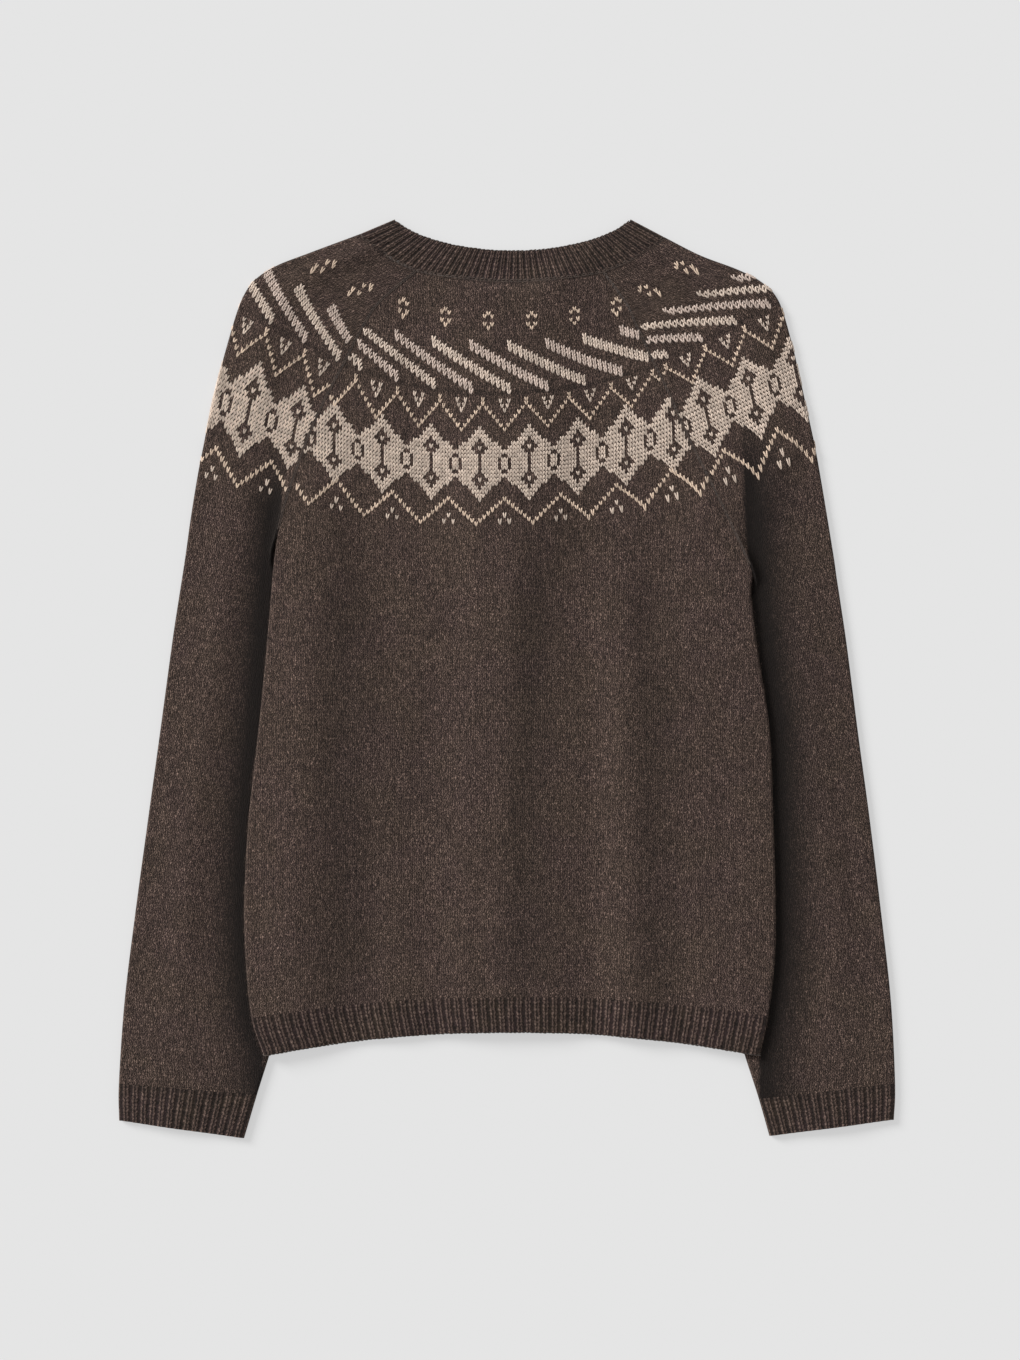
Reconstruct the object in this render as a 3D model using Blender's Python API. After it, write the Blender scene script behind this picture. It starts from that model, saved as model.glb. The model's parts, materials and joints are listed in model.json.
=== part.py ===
"""Round-yoke knitted cardigan laid flat with its back up.

The garment lies on Z = 0 with its hem towards -Y and its neck towards +Y,
and the wearer's right side is at +X. The lower layer holds the two fronts,
their ribs and bands and the buttons, the upper layer holds the back. Each
sleeve is a flattened tube: above the armpit its two layers meet the back and
the front at raglan seams, and below it the tube runs down beside the body,
with its inner part under the body's side.

Every cloth piece is one closed wall between an outer and an inner grid of
points. Rows run round the garment and are numbered from the neck seam, 0,
past the armpits, 9, to the hem seam, 16, and the hem, 17. On a sleeve they
run on from the armpit to the cuff's seam, 18, and the cuff's end, 19.
Lengths are in millimetres until a mesh is made, in metres.
"""

import math
from collections import namedtuple

import bmesh
import bpy
import numpy as np

# Driving sizes, in millimetres

METRE = 0.001
PLAN_CENTRE = (0.4, -1.0, 0.0)  # middle of the tables' outline, brought to the origin

SEAM = 0.3  # between two pieces at a seam
SEAM_STEP = 0.4  # step back along a slanting line that leaves SEAM at least
CLOTH = 2.0  # wall of the knitted cloth
AIR = 0.8  # between two layers of a flattened tube
FLAT = 2 * CLOTH + AIR  # height of a flattened tube
ROUND = FLAT / 2  # outer radius of its folded edges
TURN_ANGLES = (54, 18, -18, -54)  # degrees, of the points round a folded edge
SHARP_ANGLE = 50  # degrees
PUFF = 2.4  # how far a sleeve's upper layer swells in its middle

RIB_RISE = 0.7
HEM_RIBS = 57
NECK_RIBS = 44
CUFF_RIBS = 14

BUTTON_COUNT = 8
BUTTON_RADIUS = 7.5
BUTTON_HEIGHT = 2.5
BUTTON_LOWEST_Y = -266.0
BUTTON_HIGHEST_Y = 276.0
BUTTON_SIDES = 12
BUTTON_PROFILE = (  # share of the radius, and height
    (0.0, 0.55),
    (0.66, 0.55),
    (0.82, 0.0),
    (0.96, 0.35),
    (1.0, 1.2),
    (0.8, BUTTON_HEIGHT),
    (0.0, BUTTON_HEIGHT),
)

BAND = 2.4  # thickness of a front band
BAND_LEFT = -12.0
BAND_RIGHT = 18.0
BAND_CORNER = 0.6
LOWER_BAND_Z = BUTTON_HEIGHT + SEAM
UPPER_BAND_Z = LOWER_BAND_Z + BAND + SEAM
BAND_HUMP = UPPER_BAND_Z + BAND + 0.4 + CLOTH - FLAT  # rise of the back over both bands
HUMP_MARGIN = 2.0
HUMP_LEFT_SLOPE = 58.0
HUMP_RIGHT_SLOPE = 55.0
BAND_LEFT_SLOPE = 50.0
BAND_RIGHT_SLOPE = 40.0

SLEEVE_LIFT = FLAT + SEAM  # how far the body rides up over a sleeve
CREASE_SOFT = 0.5  # half width of the step beside the raglan, share of the sleeve, at the neck
CREASE_SHARP = 0.12  # and at the armpit
HIDDEN_MARGIN = 0.05  # share of a sleeve's width that stays flat beside the body's edge
LIFT_MARGIN = 12.0
LIFT_SLOPE = 60.0
LIFT_FADE_START = 10.0  # above the armpit
LIFT_FADE = 100.0

FRONT_NECK_Y = 266.5  # neck seam at the bands
FRONT_NECK_EDGE_Y = 290.5  # free edge of the neck rib at the bands
FRONT_RAGLAN_IN = 25.4  # how far the front's raglan seam starts outside the back's
FRONT_RAGLAN_DOWN = 10.2  # and below it
FRONT_EDGE_POWER = 2.4
BAND_LOWEST_Y = -281.5

NECK_PEAKS = ((-89.3, 366.1), (99.2, 366.1))  # where the free edge folds, left and right
NECK_EDGE_CENTRE_Y = 340.4
NECK_EDGE_RISE = (18.5, 5.1)  # of the square and the eighth power, centre to peak
NECK_DROP_MARGIN = 8.0
NECK_DROP_SLOPE = 30.0
NECK_DROP_CENTRE = 3.0
NECK_DROP_HALF = 92.0
NECK_DROP_RISE = 75.0
NECK_LOW = CLOTH + AIR  # top of the back's neck, where no front lies under it
SLEEVE_NECK_BOW = -2.7  # dip of a sleeve's neck seam
NECK_BOW_ROWS = 3  # over which that dip fades

ARMPIT = 9
HEM_SEAM = 16
HEM = 17
CUFF_SEAM = 18
CUFF = 19
FRONT_COLUMNS = 13
FRONT_HEM_ROW = 16.97  # the fronts end just short of the back
HEM_DEPTH = 28.0  # about, of a row of ribbing

YokeRow = namedtuple(
    "YokeRow",
    "centre_y left_seam_x left_seam_y left_fold_x left_fold_y left_crease "
    "right_seam_x right_seam_y right_fold_x right_fold_y right_crease",
)
YOKE_ROWS = (
    YokeRow(316.6, -71.6, 325.2, -116.6, 354.6, 0.50, 77.2, 324.4, 125.6, 352.2, 0.50),
    YokeRow(284.0, -100.4, 301.2, -158.8, 338.9, 0.50, 95.6, 298.8, 154.8, 337.4, 0.50),
    YokeRow(269.2, -112.4, 284.4, -184.4, 328.8, 0.50, 102.4, 284.4, 184.8, 326.0, 0.50),
    YokeRow(248.8, -121.1, 268.6, -202.4, 316.4, 0.50, 110.0, 268.2, 204.4, 315.6, 0.52),
    YokeRow(228.4, -129.2, 252.4, -213.2, 298.0, 0.50, 117.6, 251.6, 217.6, 300.8, 0.55),
    YokeRow(198.0, -145.2, 222.0, -223.9, 263.6, 0.34, 129.2, 228.4, 227.4, 270.0, 0.60),
    YokeRow(170.4, -158.0, 193.2, -234.4, 223.6, 0.25, 142.0, 198.8, 233.8, 242.8, 0.50),
    YokeRow(141.2, -167.6, 166.0, -242.4, 184.4, 0.13, 154.8, 172.4, 242.0, 206.0, 0.38),
    YokeRow(121.2, -175.6, 142.0, -247.2, 159.6, 0.05, 166.8, 148.4, 248.9, 172.4, 0.28),
    YokeRow(94.0, -181.6, 118.0, -252.6, 126.0, 0.00, 193.6, 90.0, 260.8, 101.2, 0.00),
)

BodyRow = namedtuple("BodyRow", "centre_y left_x left_y right_x right_y")
BODY_ROWS = (
    BodyRow(74.0, -185.7, 89.2, 195.2, 66.0),
    BodyRow(28.0, -190.8, 30.0, 200.4, 22.0),
    BodyRow(-36.0, -197.7, -41.2, 210.0, -42.0),
    BodyRow(-102.0, -205.5, -110.8, 212.8, -110.8),
    BodyRow(-166.0, -209.2, -178.0, 214.8, -178.0),
    BodyRow(-211.0, -208.0, -226.0, 214.0, -226.0),
    BodyRow(-254.8, -203.4, -271.6, 208.9, -270.0),
    BodyRow(-282.2, -194.0, -301.2, 202.0, -301.2),
)

SleeveRow = namedtuple("SleeveRow", "inner_x inner_y outer_x outer_y")
LEFT_SLEEVE_ROWS = (
    SleeveRow(-186.3, 89.2, -256.6, 97.2),
    SleeveRow(-165.2, 59.6, -260.8, 70.0),
    SleeveRow(-139.6, 20.4, -266.0, 36.4),
    SleeveRow(-134.8, -23.6, -271.8, -6.0),
    SleeveRow(-139.6, -64.4, -277.2, -46.0),
    SleeveRow(-153.2, -133.2, -286.6, -114.0),
    SleeveRow(-167.6, -205.2, -296.4, -186.0),
    SleeveRow(-182.0, -275.6, -305.2, -258.0),
    SleeveRow(-199.3, -333.2, -309.8, -324.4),
    SleeveRow(-209.6, -368.0, -309.6, -354.0),
)
RIGHT_SLEEVE_ROWS = (
    SleeveRow(195.8, 66.0, 263.8, 80.4),
    SleeveRow(174.0, 42.0, 267.0, 59.6),
    SleeveRow(148.4, 12.4, 271.4, 30.0),
    SleeveRow(142.0, -27.6, 276.6, -10.0),
    SleeveRow(146.8, -64.4, 281.3, -46.8),
    SleeveRow(159.6, -132.4, 290.4, -114.0),
    SleeveRow(172.4, -203.6, 299.2, -186.0),
    SleeveRow(183.0, -274.8, 307.2, -258.0),
    SleeveRow(201.5, -336.4, 310.6, -324.4),
    SleeveRow(210.0, -366.2, 309.6, -353.4),
)

Fold = namedtuple("Fold", "top_x top_y bottom_x bottom_y half_width height")
FOLDS = (
    Fold(84.0, 120.0, 107.0, -300.0, 44.0, 5.0),
    Fold(-66.0, 150.0, -84.0, -300.0, 34.0, 2.2),
    Fold(20.0, 250.0, -6.0, 60.0, 60.0, 1.6),
)
FOLD_START = 0.25  # share of a fold's length over which it rises
FOLD_TAIL = 0.6  # share over which it fades past its end
FOLD_BELOW = 0.5  # share of a fold's height that the lower layer has


class Side:
    """One side of the garment, left (-1) or right (+1), with its tables."""

    def __init__(self, name, sign, sleeve_rows):
        self.name = name
        self.sign = sign
        yoke = np.array(
            [
                (
                    getattr(row, f"{name}_seam_x"),
                    getattr(row, f"{name}_seam_y"),
                    getattr(row, f"{name}_fold_x"),
                    getattr(row, f"{name}_fold_y"),
                    getattr(row, f"{name}_crease"),
                )
                for row in YOKE_ROWS
            ]
        )
        below = np.array([(*row, 0.0) for row in sleeve_rows])
        self.sleeve = np.vstack([yoke, below])
        body = np.array(
            [(getattr(r, f"{name}_x"), getattr(r, f"{name}_y")) for r in BODY_ROWS]
        )
        self.edge = np.vstack([yoke[:, :2], body])
        self.armpit_y = yoke[-1, 1]
        self.band_x = BAND_LEFT if sign < 0 else BAND_RIGHT
        self.peak = np.array(NECK_PEAKS[0] if sign < 0 else NECK_PEAKS[1])

    def inner_line(self, y):
        """X of the sleeve's inner edge, or above the armpit of the raglan seam, at y."""
        order = np.argsort(self.sleeve[:, 1])
        return np.interp(y, self.sleeve[order, 1], self.sleeve[order, 0])

    def body_line(self, y):
        """X of the body's side edge at y."""
        order = np.argsort(self.edge[:, 1])
        return np.interp(y, self.edge[order, 1], self.edge[order, 0])


LEFT = Side("left", -1, LEFT_SLEEVE_ROWS)
RIGHT = Side("right", 1, RIGHT_SLEEVE_ROWS)
CENTRE_Y = np.array([r.centre_y for r in YOKE_ROWS] + [r.centre_y for r in BODY_ROWS])


# Curves

def ease(t):
    """Smooth step from 0 to 1."""
    t = np.clip(t, 0.0, 1.0)
    return t * t * (3 - 2 * t)


def along(table, t):
    """Point at row number t of a smooth curve through the table's rows."""
    table = np.asarray(table, float)
    last = len(table) - 1
    i = int(min(max(math.floor(t), 0), last - 1))
    f = t - i
    here, after = table[i], table[i + 1]
    before = table[i - 1] if i > 0 else 2 * here - after
    beyond = table[i + 2] if i + 2 <= last else 2 * after - here
    return 0.5 * (
        2 * here
        + (after - before) * f
        + (2 * before - 5 * here + 4 * after - beyond) * f * f
        + (3 * here - before - 3 * after + beyond) * f ** 3
    )


def unit(vector):
    """The vector at length 1."""
    return np.asarray(vector, float) / np.linalg.norm(vector)


# Heights of the two layers of the body

def sleeve_lift(x, y):
    """How far the body is lifted at (x, y) by the sleeves under its sides."""
    total = 0.0
    for side in (LEFT, RIGHT):
        inward = side.sign * (side.inner_line(y) - x) - LIFT_MARGIN
        fade = 1 - ease((y - side.armpit_y - LIFT_FADE_START) / LIFT_FADE)
        total = total + SLEEVE_LIFT * (1 - ease(inward / LIFT_SLOPE)) * fade
    return total


def fold_height(x, y):
    """Height of the long soft folds at (x, y)."""
    total = 0.0
    for fold in FOLDS:
        t = (fold.top_y - y) / (fold.top_y - fold.bottom_y)
        crest = fold.top_x + (fold.bottom_x - fold.top_x) * t
        across = 1 - ease(np.abs(x - crest) / fold.half_width)
        length = ease(t / FOLD_START) * ease((1 + FOLD_TAIL - t) / FOLD_TAIL)
        total = total + fold.height * across * length
    return total


def band_hump(x):
    """How far the back is lifted at x by the two bands under it."""
    left = 1 - ease((BAND_LEFT - HUMP_MARGIN - x) / HUMP_LEFT_SLOPE)
    right = 1 - ease((x - BAND_RIGHT - HUMP_MARGIN) / HUMP_RIGHT_SLOPE)
    return BAND_HUMP * left * right


def band_rise(x):
    """How far a front is lifted at x to meet its band."""
    left = UPPER_BAND_Z * (1 - ease((BAND_LEFT - x) / BAND_LEFT_SLOPE)) * (x < 0)
    right = LOWER_BAND_Z * (1 - ease((x - BAND_RIGHT) / BAND_RIGHT_SLOPE)) * (x > 0)
    return left + right


def neck_drop(x, y):
    """1 where no front lies under the back, inside the front's neckline, else 0."""
    across = (x - NECK_DROP_CENTRE) / NECK_DROP_HALF
    start = FRONT_NECK_EDGE_Y + NECK_DROP_RISE * across ** 2 + NECK_DROP_MARGIN
    return ease((y - start) / NECK_DROP_SLOPE)


def lower_z(x, y):
    """Underside of the lower layer."""
    return sleeve_lift(x, y) + band_rise(x) + FOLD_BELOW * fold_height(x, y)


def upper_z(x, y):
    """Top of the upper layer."""
    top = FLAT + sleeve_lift(x, y) + band_hump(x) + fold_height(x, y)
    drop = neck_drop(x, y)
    return top * (1 - drop) + NECK_LOW * drop


# Walls

def wall(name, outer, inner, material):
    """One closed wall between two grids of points, as a smooth-shaded object."""
    rows, cols = outer.shape[:2]
    count = rows * cols
    points = np.concatenate([outer.reshape(-1, 3), inner.reshape(-1, 3)])
    points = (points - PLAN_CENTRE) * METRE
    faces = []
    for i in range(rows - 1):
        for j in range(cols - 1):
            a, b = i * cols + j, i * cols + j + 1
            c, d = b + cols, a + cols
            faces += [(a, b, c), (a, c, d)]
            faces += [(count + a, count + c, count + b), (count + a, count + d, count + c)]
    rim = [j for j in range(cols)]
    rim += [i * cols + cols - 1 for i in range(1, rows)]
    rim += [(rows - 1) * cols + j for j in range(cols - 2, -1, -1)]
    rim += [i * cols for i in range(rows - 2, 0, -1)]
    for a, b in zip(rim, rim[1:] + rim[:1]):
        faces += [(b, a, count + a), (b, count + a, count + b)]
    tri = points[np.array(faces)]
    volume = np.einsum("ij,ij->i", tri[:, 0], np.cross(tri[:, 1], tri[:, 2])).sum()
    if volume < 0:
        faces = [face[::-1] for face in faces]
    mesh = bpy.data.meshes.new(name)
    mesh.from_pydata([tuple(p) for p in points], [], faces)
    return dressed(name, mesh, material)


def dressed(name, mesh, material):
    """An object of this mesh, with its material and smooth shading."""
    mesh.materials.append(material)
    mesh.shade_smooth()
    mesh.set_sharp_from_angle(angle=math.radians(SHARP_ANGLE))
    mesh.validate()
    made = bpy.data.objects.new(name, mesh)
    bpy.context.scene.collection.objects.link(made)
    return made


def end_columns(closed):
    """Two columns that round a layer's edge, from its tip inwards.

    closed is 1 where the edge curls to meet the other layer's and 0 where it
    ends square. Each column is the outward step and the rise of its outer and
    its inner point, from the middle of the rounding.
    """
    columns = []
    for angle in (0.0, math.pi / 4):
        flat_step = ROUND * (1 - angle / (math.pi / 2))
        values = []
        for radius, flat_rise in ((ROUND, ROUND), (ROUND - CLOTH, ROUND - CLOTH)):
            step = radius * math.cos(angle)
            rise = max(radius * math.sin(angle), SEAM / 2)
            values.append(flat_step + (step - flat_step) * closed)
            values.append(flat_rise + (rise - flat_rise) * closed)
        columns.append(values)
    return columns


def rib_wave(count, columns):
    """Heights of ribs over a run of columns, a ridge then a furrow."""
    wave = np.zeros(columns)
    wave[1 : 2 * count : 2] = RIB_RISE
    return wave


# The body's panels

def body_row(row):
    """Left point, right point and middle height of a row of the body."""
    left = along(LEFT.edge, row)
    right = along(RIGHT.edge, row)
    return left, right, along(CENTRE_Y[:, None], row)[0]


def closed_at(row):
    """1 below the armpit, where a side or underarm edge curls shut, else 0."""
    return float(np.clip(row - ARMPIT, 0, 1))


def row_y(row, x):
    """Y of a row of the body at x."""
    left, right, centre_y = body_row(row)
    sag = centre_y - (left[1] + right[1]) / 2
    u = (x - left[0]) / (right[0] - left[0])
    return left[1] + (right[1] - left[1]) * u + sag * (1 - (2 * u - 1) ** 2)


def back_stations(start, stop):
    """X of the back's columns: those of each front, and one between."""
    left = np.linspace(start, BAND_LEFT - SEAM, FRONT_COLUMNS)
    right = np.linspace(BAND_RIGHT + SEAM, stop, FRONT_COLUMNS)
    return np.concatenate([left, [(BAND_LEFT + BAND_RIGHT) / 2], right])


def back_wall(name, rows, stations, wave, material):
    """The back, or its rib, from its rows."""
    outer, inner = [], []
    for row in rows:
        left, right, _ = body_row(row)
        ends = end_columns(closed_at(row))
        start, stop = left[0] + ROUND, right[0] - ROUND
        line_out, line_in = [], []

        def at(x):
            return row_y(row, x)

        for step, rise, step_in, rise_in in ends:
            y = at(start)
            base = upper_z(start, y) - ROUND
            line_out.append((start - step, y, base + rise))
            line_in.append((start - step_in, y, base + rise_in))
        for x, lift in zip(stations(start, stop), wave):
            y = at(x)
            top = upper_z(x, y)
            line_out.append((x, y, top + lift))
            line_in.append((x, y, top - CLOTH))
        for step, rise, step_in, rise_in in reversed(ends):
            y = at(stop)
            base = upper_z(stop, y) - ROUND
            line_out.append((stop + step, y, base + rise))
            line_in.append((stop + step_in, y, base + rise_in))
        outer.append(line_out)
        inner.append(line_in)
    return wall(name, np.array(outer), np.array(inner), material)


def front_raglan(side, row):
    """Point of the front's raglan seam, or of its side edge, at a row."""
    point = along(side.edge, row)
    early = max(1 - row / ARMPIT, 0) ** 2
    return point + np.array((side.sign * FRONT_RAGLAN_IN, -FRONT_RAGLAN_DOWN)) * early


def band_y(row):
    """Y of a front's row above the armpit where it meets its band."""
    return FRONT_NECK_Y + (CENTRE_Y[ARMPIT] - FRONT_NECK_Y) * row / ARMPIT


def front_wall(name, side, rows, material):
    """One front, or its hem rib, from its rows."""
    outer, inner = [], []
    for row in rows:
        edge = front_raglan(side, row)
        stop_y = band_y(row)
        stop = side.band_x + side.sign * SEAM
        start = edge[0] - side.sign * ROUND

        def at(x):
            if row >= ARMPIT:
                return row_y(row, x)
            u = (x - edge[0]) / (stop - edge[0])
            return stop_y + (edge[1] - stop_y) * (1 - u) ** 2

        line_out, line_in = [], []
        for step, rise, step_in, rise_in in end_columns(closed_at(row)):
            y = at(start)
            base = lower_z(start, y) + ROUND
            line_out.append((start + side.sign * step, y, base - rise))
            line_in.append((start + side.sign * step_in, y, base - rise_in))
        for x in np.linspace(start, stop, FRONT_COLUMNS):
            y = at(x)
            low = lower_z(x, y)
            line_out.append((x, y, low))
            line_in.append((x, y, low + CLOTH))
        outer.append(line_out)
        inner.append(line_in)
    return wall(name, np.array(outer), np.array(inner), material)


# The sleeves

def fold_normal(side, row):
    """Outward direction of the sleeve's outer fold at a row."""
    if row <= 0:
        return neck_fold_normal(side)
    step = 0.25
    ahead = along(side.sleeve, min(row + step, CUFF))[2:4]
    behind = along(side.sleeve, max(row - step, 0))[2:4]
    dx, dy = ahead - behind
    normal = unit((dy, -dx))
    return normal if normal[0] * side.sign > 0 else -normal


def neck_fold_normal(side):
    """Outward direction of the collar's fold at the shoulder."""
    dx, dy = side.peak - side.sleeve[0, 2:4]
    normal = unit((-dy, dx))
    return normal if normal[1] > 0 else -normal


def sleeve_wall(name, side, rows, upper_columns, lower_columns, wave, material):
    """One sleeve or cuff: upper layer, outer fold and lower layer of each row."""
    outer, inner = [], []
    for row in rows:
        seam_x, seam_y, fold_x, fold_y, crease = along(side.sleeve, row)
        fold = np.array((fold_x, fold_y))
        normal = fold_normal(side, row)
        upper_seam = np.array((seam_x, seam_y))
        lower_seam = front_raglan(side, row) if row < ARMPIT else upper_seam
        closed = closed_at(row)
        dive = float(ease(row - ARMPIT))
        seam_top = upper_z(*upper_seam) if row < ARMPIT else upper_z(*side.edge[ARMPIT])
        seam_low = lower_z(*lower_seam) if row < ARMPIT else lower_z(*side.edge[ARMPIT])
        seam_top += (FLAT - seam_top) * dive
        seam_low += (0.0 - seam_low) * dive
        softness = CREASE_SOFT + (CREASE_SHARP - CREASE_SOFT) * float(ease(row / ARMPIT))
        hidden = abs(seam_x - side.body_line(seam_y)) / abs(seam_x - fold_x)
        covered = hidden + HIDDEN_MARGIN if row > ARMPIT + 1 else 0.0
        covered = min(max(crease, covered), 0.5)
        bow = SLEEVE_NECK_BOW * max(1 - row / NECK_BOW_ROWS, 0) ** 2
        tube = fold - normal * ROUND
        ends = end_columns(closed)
        line_out, line_in = [], []

        def layer(seam, bowed):
            """Where this layer's flat part starts, and its points by share."""
            length = np.linalg.norm(seam - tube)

            def at(w):
                x, y = seam + (tube - seam) * w
                return x, y + bowed * math.sin(math.pi * w)

            return length, (ROUND + SEAM_STEP) / length, at

        def settle(w):
            return float(ease((w - crease + softness) / (2 * softness)))

        length, begin, at = layer(upper_seam, bow)
        for step, rise, step_in, rise_in in ends:
            z = seam_top - ROUND
            line_out.append((*at(begin - step / length), z + rise))
            line_in.append((*at(begin - step_in / length), z + rise_in))
        for w, lift in zip(np.linspace(begin, 1, upper_columns), wave):
            swell = PUFF * math.sin(math.pi * max(w - covered, 0) / (1 - covered)) ** 2
            top = seam_top + (FLAT - seam_top) * settle(w) + swell
            line_out.append((*at(w), top + lift))
            line_in.append((*at(w), top - CLOTH))
        for angle in np.radians(TURN_ANGLES):
            for line, radius in ((line_out, ROUND), (line_in, ROUND - CLOTH)):
                reach = tube + normal * radius * math.cos(angle)
                line.append((*reach, ROUND + radius * math.sin(angle)))
        length, begin, at = layer(lower_seam, 0.0)
        for w in np.linspace(1, begin, lower_columns):
            low = seam_low * (1 - settle(w))
            line_out.append((*at(w), low))
            line_in.append((*at(w), low + CLOTH))
        for step, rise, step_in, rise_in in reversed(ends):
            z = seam_low + ROUND
            line_out.append((*at(begin - step / length), z - rise))
            line_in.append((*at(begin - step_in / length), z - rise_in))
        outer.append(line_out)
        inner.append(line_in)
    return wall(name, np.array(outer), np.array(inner), material)


# The neck rib

def polyline(points, share):
    """Point at a share of the length of a line of points."""
    points = np.asarray(points, float)
    lengths = np.linalg.norm(np.diff(points, axis=0), axis=1)
    reached = np.concatenate([[0.0], np.cumsum(lengths)])
    at = share * reached[-1]
    return np.array([np.interp(at, reached, points[:, k]) for k in range(2)])


def upper_seam_line():
    """The neck seam over the back, from the left shoulder's fold to the right's."""
    points = []
    for side in (LEFT, RIGHT):
        fold = side.sleeve[0, 2:4] - neck_fold_normal(side) * ROUND
        seam = side.sleeve[0, :2]
        run = []
        for w in np.linspace(0, 1, 9):
            x, y = fold + (seam - fold) * w
            run.append((x, y + SLEEVE_NECK_BOW * math.sin(math.pi * w)))
        points.append(run)
    left, right, centre_y = body_row(0)
    sag = centre_y - (left[1] + right[1]) / 2
    middle = []
    for u in np.linspace(0, 1, 25)[1:-1]:
        x, y = left + (right - left) * u
        middle.append((x, y + sag * (1 - (2 * u - 1) ** 2)))
    return points[0] + middle + points[1][::-1]


def upper_edge_line():
    """The free edge of the neck rib over the back, left peak to right peak."""
    start = LEFT.peak - neck_fold_normal(LEFT) * ROUND
    stop = RIGHT.peak - neck_fold_normal(RIGHT) * ROUND
    middle, half = (start[0] + stop[0]) / 2, (stop[0] - start[0]) / 2
    square, eighth = NECK_EDGE_RISE
    points = []
    for x in np.linspace(start[0], stop[0], 49):
        t = (x - middle) / half
        points.append((x, NECK_EDGE_CENTRE_Y + square * t ** 2 + eighth * t ** 8))
    return points


def lower_seam_line(side):
    """The neck seam under the garment, from a shoulder's fold to its band."""
    fold = side.sleeve[0, 2:4] - neck_fold_normal(side) * ROUND
    raglan = front_raglan(side, 0)
    stop = side.band_x + side.sign * SEAM
    points = [fold]
    for u in np.linspace(0, 1, 13):
        x = raglan[0] + (stop - raglan[0]) * u
        points.append((x, FRONT_NECK_Y + (raglan[1] - FRONT_NECK_Y) * (1 - u) ** 2))
    return points


def lower_edge_line(side):
    """The free edge of the neck rib under the garment, from a peak to the band."""
    start = side.peak - neck_fold_normal(side) * ROUND
    stop = side.band_x + side.sign * SEAM
    points = []
    for u in np.linspace(0, 1, 13):
        x = start[0] + (stop - start[0]) * u
        rise = (start[1] - FRONT_NECK_EDGE_Y) * (1 - u) ** FRONT_EDGE_POWER
        points.append((x, FRONT_NECK_EDGE_Y + rise))
    return points


def neck_column(seam, edge, levels):
    """Points from just off the seam to the free edge."""
    start = seam + unit(edge - seam) * SEAM_STEP
    return [start + (edge - start) * level for level in levels]


def neck_rib(name, material):
    """The ribbed strip round the neck, folded at both shoulders."""
    levels = (0.0, 1.0)
    lower_columns = 9
    upper_columns = 2 * NECK_RIBS + 1
    columns_out, columns_in = [], []

    def lay(seam, edge, height, lift, up):
        out, inside = [], []
        for x, y in neck_column(seam, edge, levels):
            z = height(x, y)
            out.append((x, y, z + lift))
            inside.append((x, y, z - up * CLOTH))
        columns_out.append(out)
        columns_in.append(inside)

    def turn(side, angles):
        normal = neck_fold_normal(side)
        seam = side.sleeve[0, 2:4] - normal * ROUND
        edge = side.peak - normal * ROUND
        for angle in np.radians(angles):
            for columns, radius in ((columns_out, ROUND), (columns_in, ROUND - CLOTH)):
                rise = ROUND + radius * math.sin(angle)
                reach = normal * radius * math.cos(angle)
                line = neck_column(seam, edge, levels)
                columns.append([(*(point + reach), rise) for point in line])

    def under(side, shares):
        for share in shares:
            seam = polyline(lower_seam_line(side), share)
            edge = polyline(lower_edge_line(side), share)
            lay(seam, edge, lower_z, 0.0, -1)

    under(LEFT, np.linspace(1, 0, lower_columns))
    turn(LEFT, TURN_ANGLES[::-1])
    for share, lift in zip(
        np.linspace(0, 1, upper_columns), rib_wave(NECK_RIBS, upper_columns)
    ):
        seam = polyline(upper_seam_line(), share)
        edge = polyline(upper_edge_line(), share)
        lay(seam, edge, upper_z, lift, 1)
    turn(RIGHT, TURN_ANGLES)
    under(RIGHT, np.linspace(0, 1, lower_columns))
    return wall(name, np.array(columns_out), np.array(columns_in), material)


# Bands and buttons

def band(name, low, material):
    """A front band: a flat strip with slightly eased long edges."""
    high_y = FRONT_NECK_EDGE_Y
    section = (
        (BAND_LEFT, low + BAND_CORNER, low + BAND - BAND_CORNER),
        (BAND_LEFT + BAND_CORNER, low, low + BAND),
        ((BAND_LEFT + BAND_RIGHT) / 2, low, low + BAND),
        (BAND_RIGHT - BAND_CORNER, low, low + BAND),
        (BAND_RIGHT, low + BAND_CORNER, low + BAND - BAND_CORNER),
    )
    outer, inner = [], []
    for y in np.linspace(BAND_LOWEST_Y, high_y, 5):
        outer.append([(x, y, bottom) for x, bottom, _ in section])
        inner.append([(x, y, top) for x, _, top in section])
    return wall(name, np.array(outer), np.array(inner), material)


def button(name, centre_x, centre_y, material):
    """A round button face down: a raised rim about a shallow dished middle."""
    profile = [(share * BUTTON_RADIUS, z) for share, z in BUTTON_PROFILE]
    shape = bmesh.new()
    centre = np.array((centre_x, centre_y, 0.0)) - PLAN_CENTRE
    points = [shape.verts.new((centre + (r, 0.0, z)) * METRE) for r, z in profile]
    edges = [shape.edges.new(pair) for pair in zip(points, points[1:])]
    bmesh.ops.spin(
        shape,
        geom=points + edges,
        cent=centre * METRE,
        axis=(0.0, 0.0, 1.0),
        angle=2 * math.pi,
        steps=BUTTON_SIDES,
        use_duplicate=False,
    )
    bmesh.ops.remove_doubles(shape, verts=shape.verts, dist=1e-6)
    bmesh.ops.recalc_face_normals(shape, faces=shape.faces)
    mesh = bpy.data.meshes.new(name)
    shape.to_mesh(mesh)
    shape.free()
    return dressed(name, mesh, material)


# Materials

def finish(name, colour, roughness, sheen):
    """A plain Principled material."""
    material = bpy.data.materials.new(name)
    material.use_nodes = True
    shader = material.node_tree.nodes["Principled BSDF"]
    shader.inputs["Base Color"].default_value = (*colour, 1.0)
    shader.inputs["Roughness"].default_value = roughness
    shader.inputs["Metallic"].default_value = 0.0
    shader.inputs["Sheen Weight"].default_value = sheen
    return material


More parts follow.
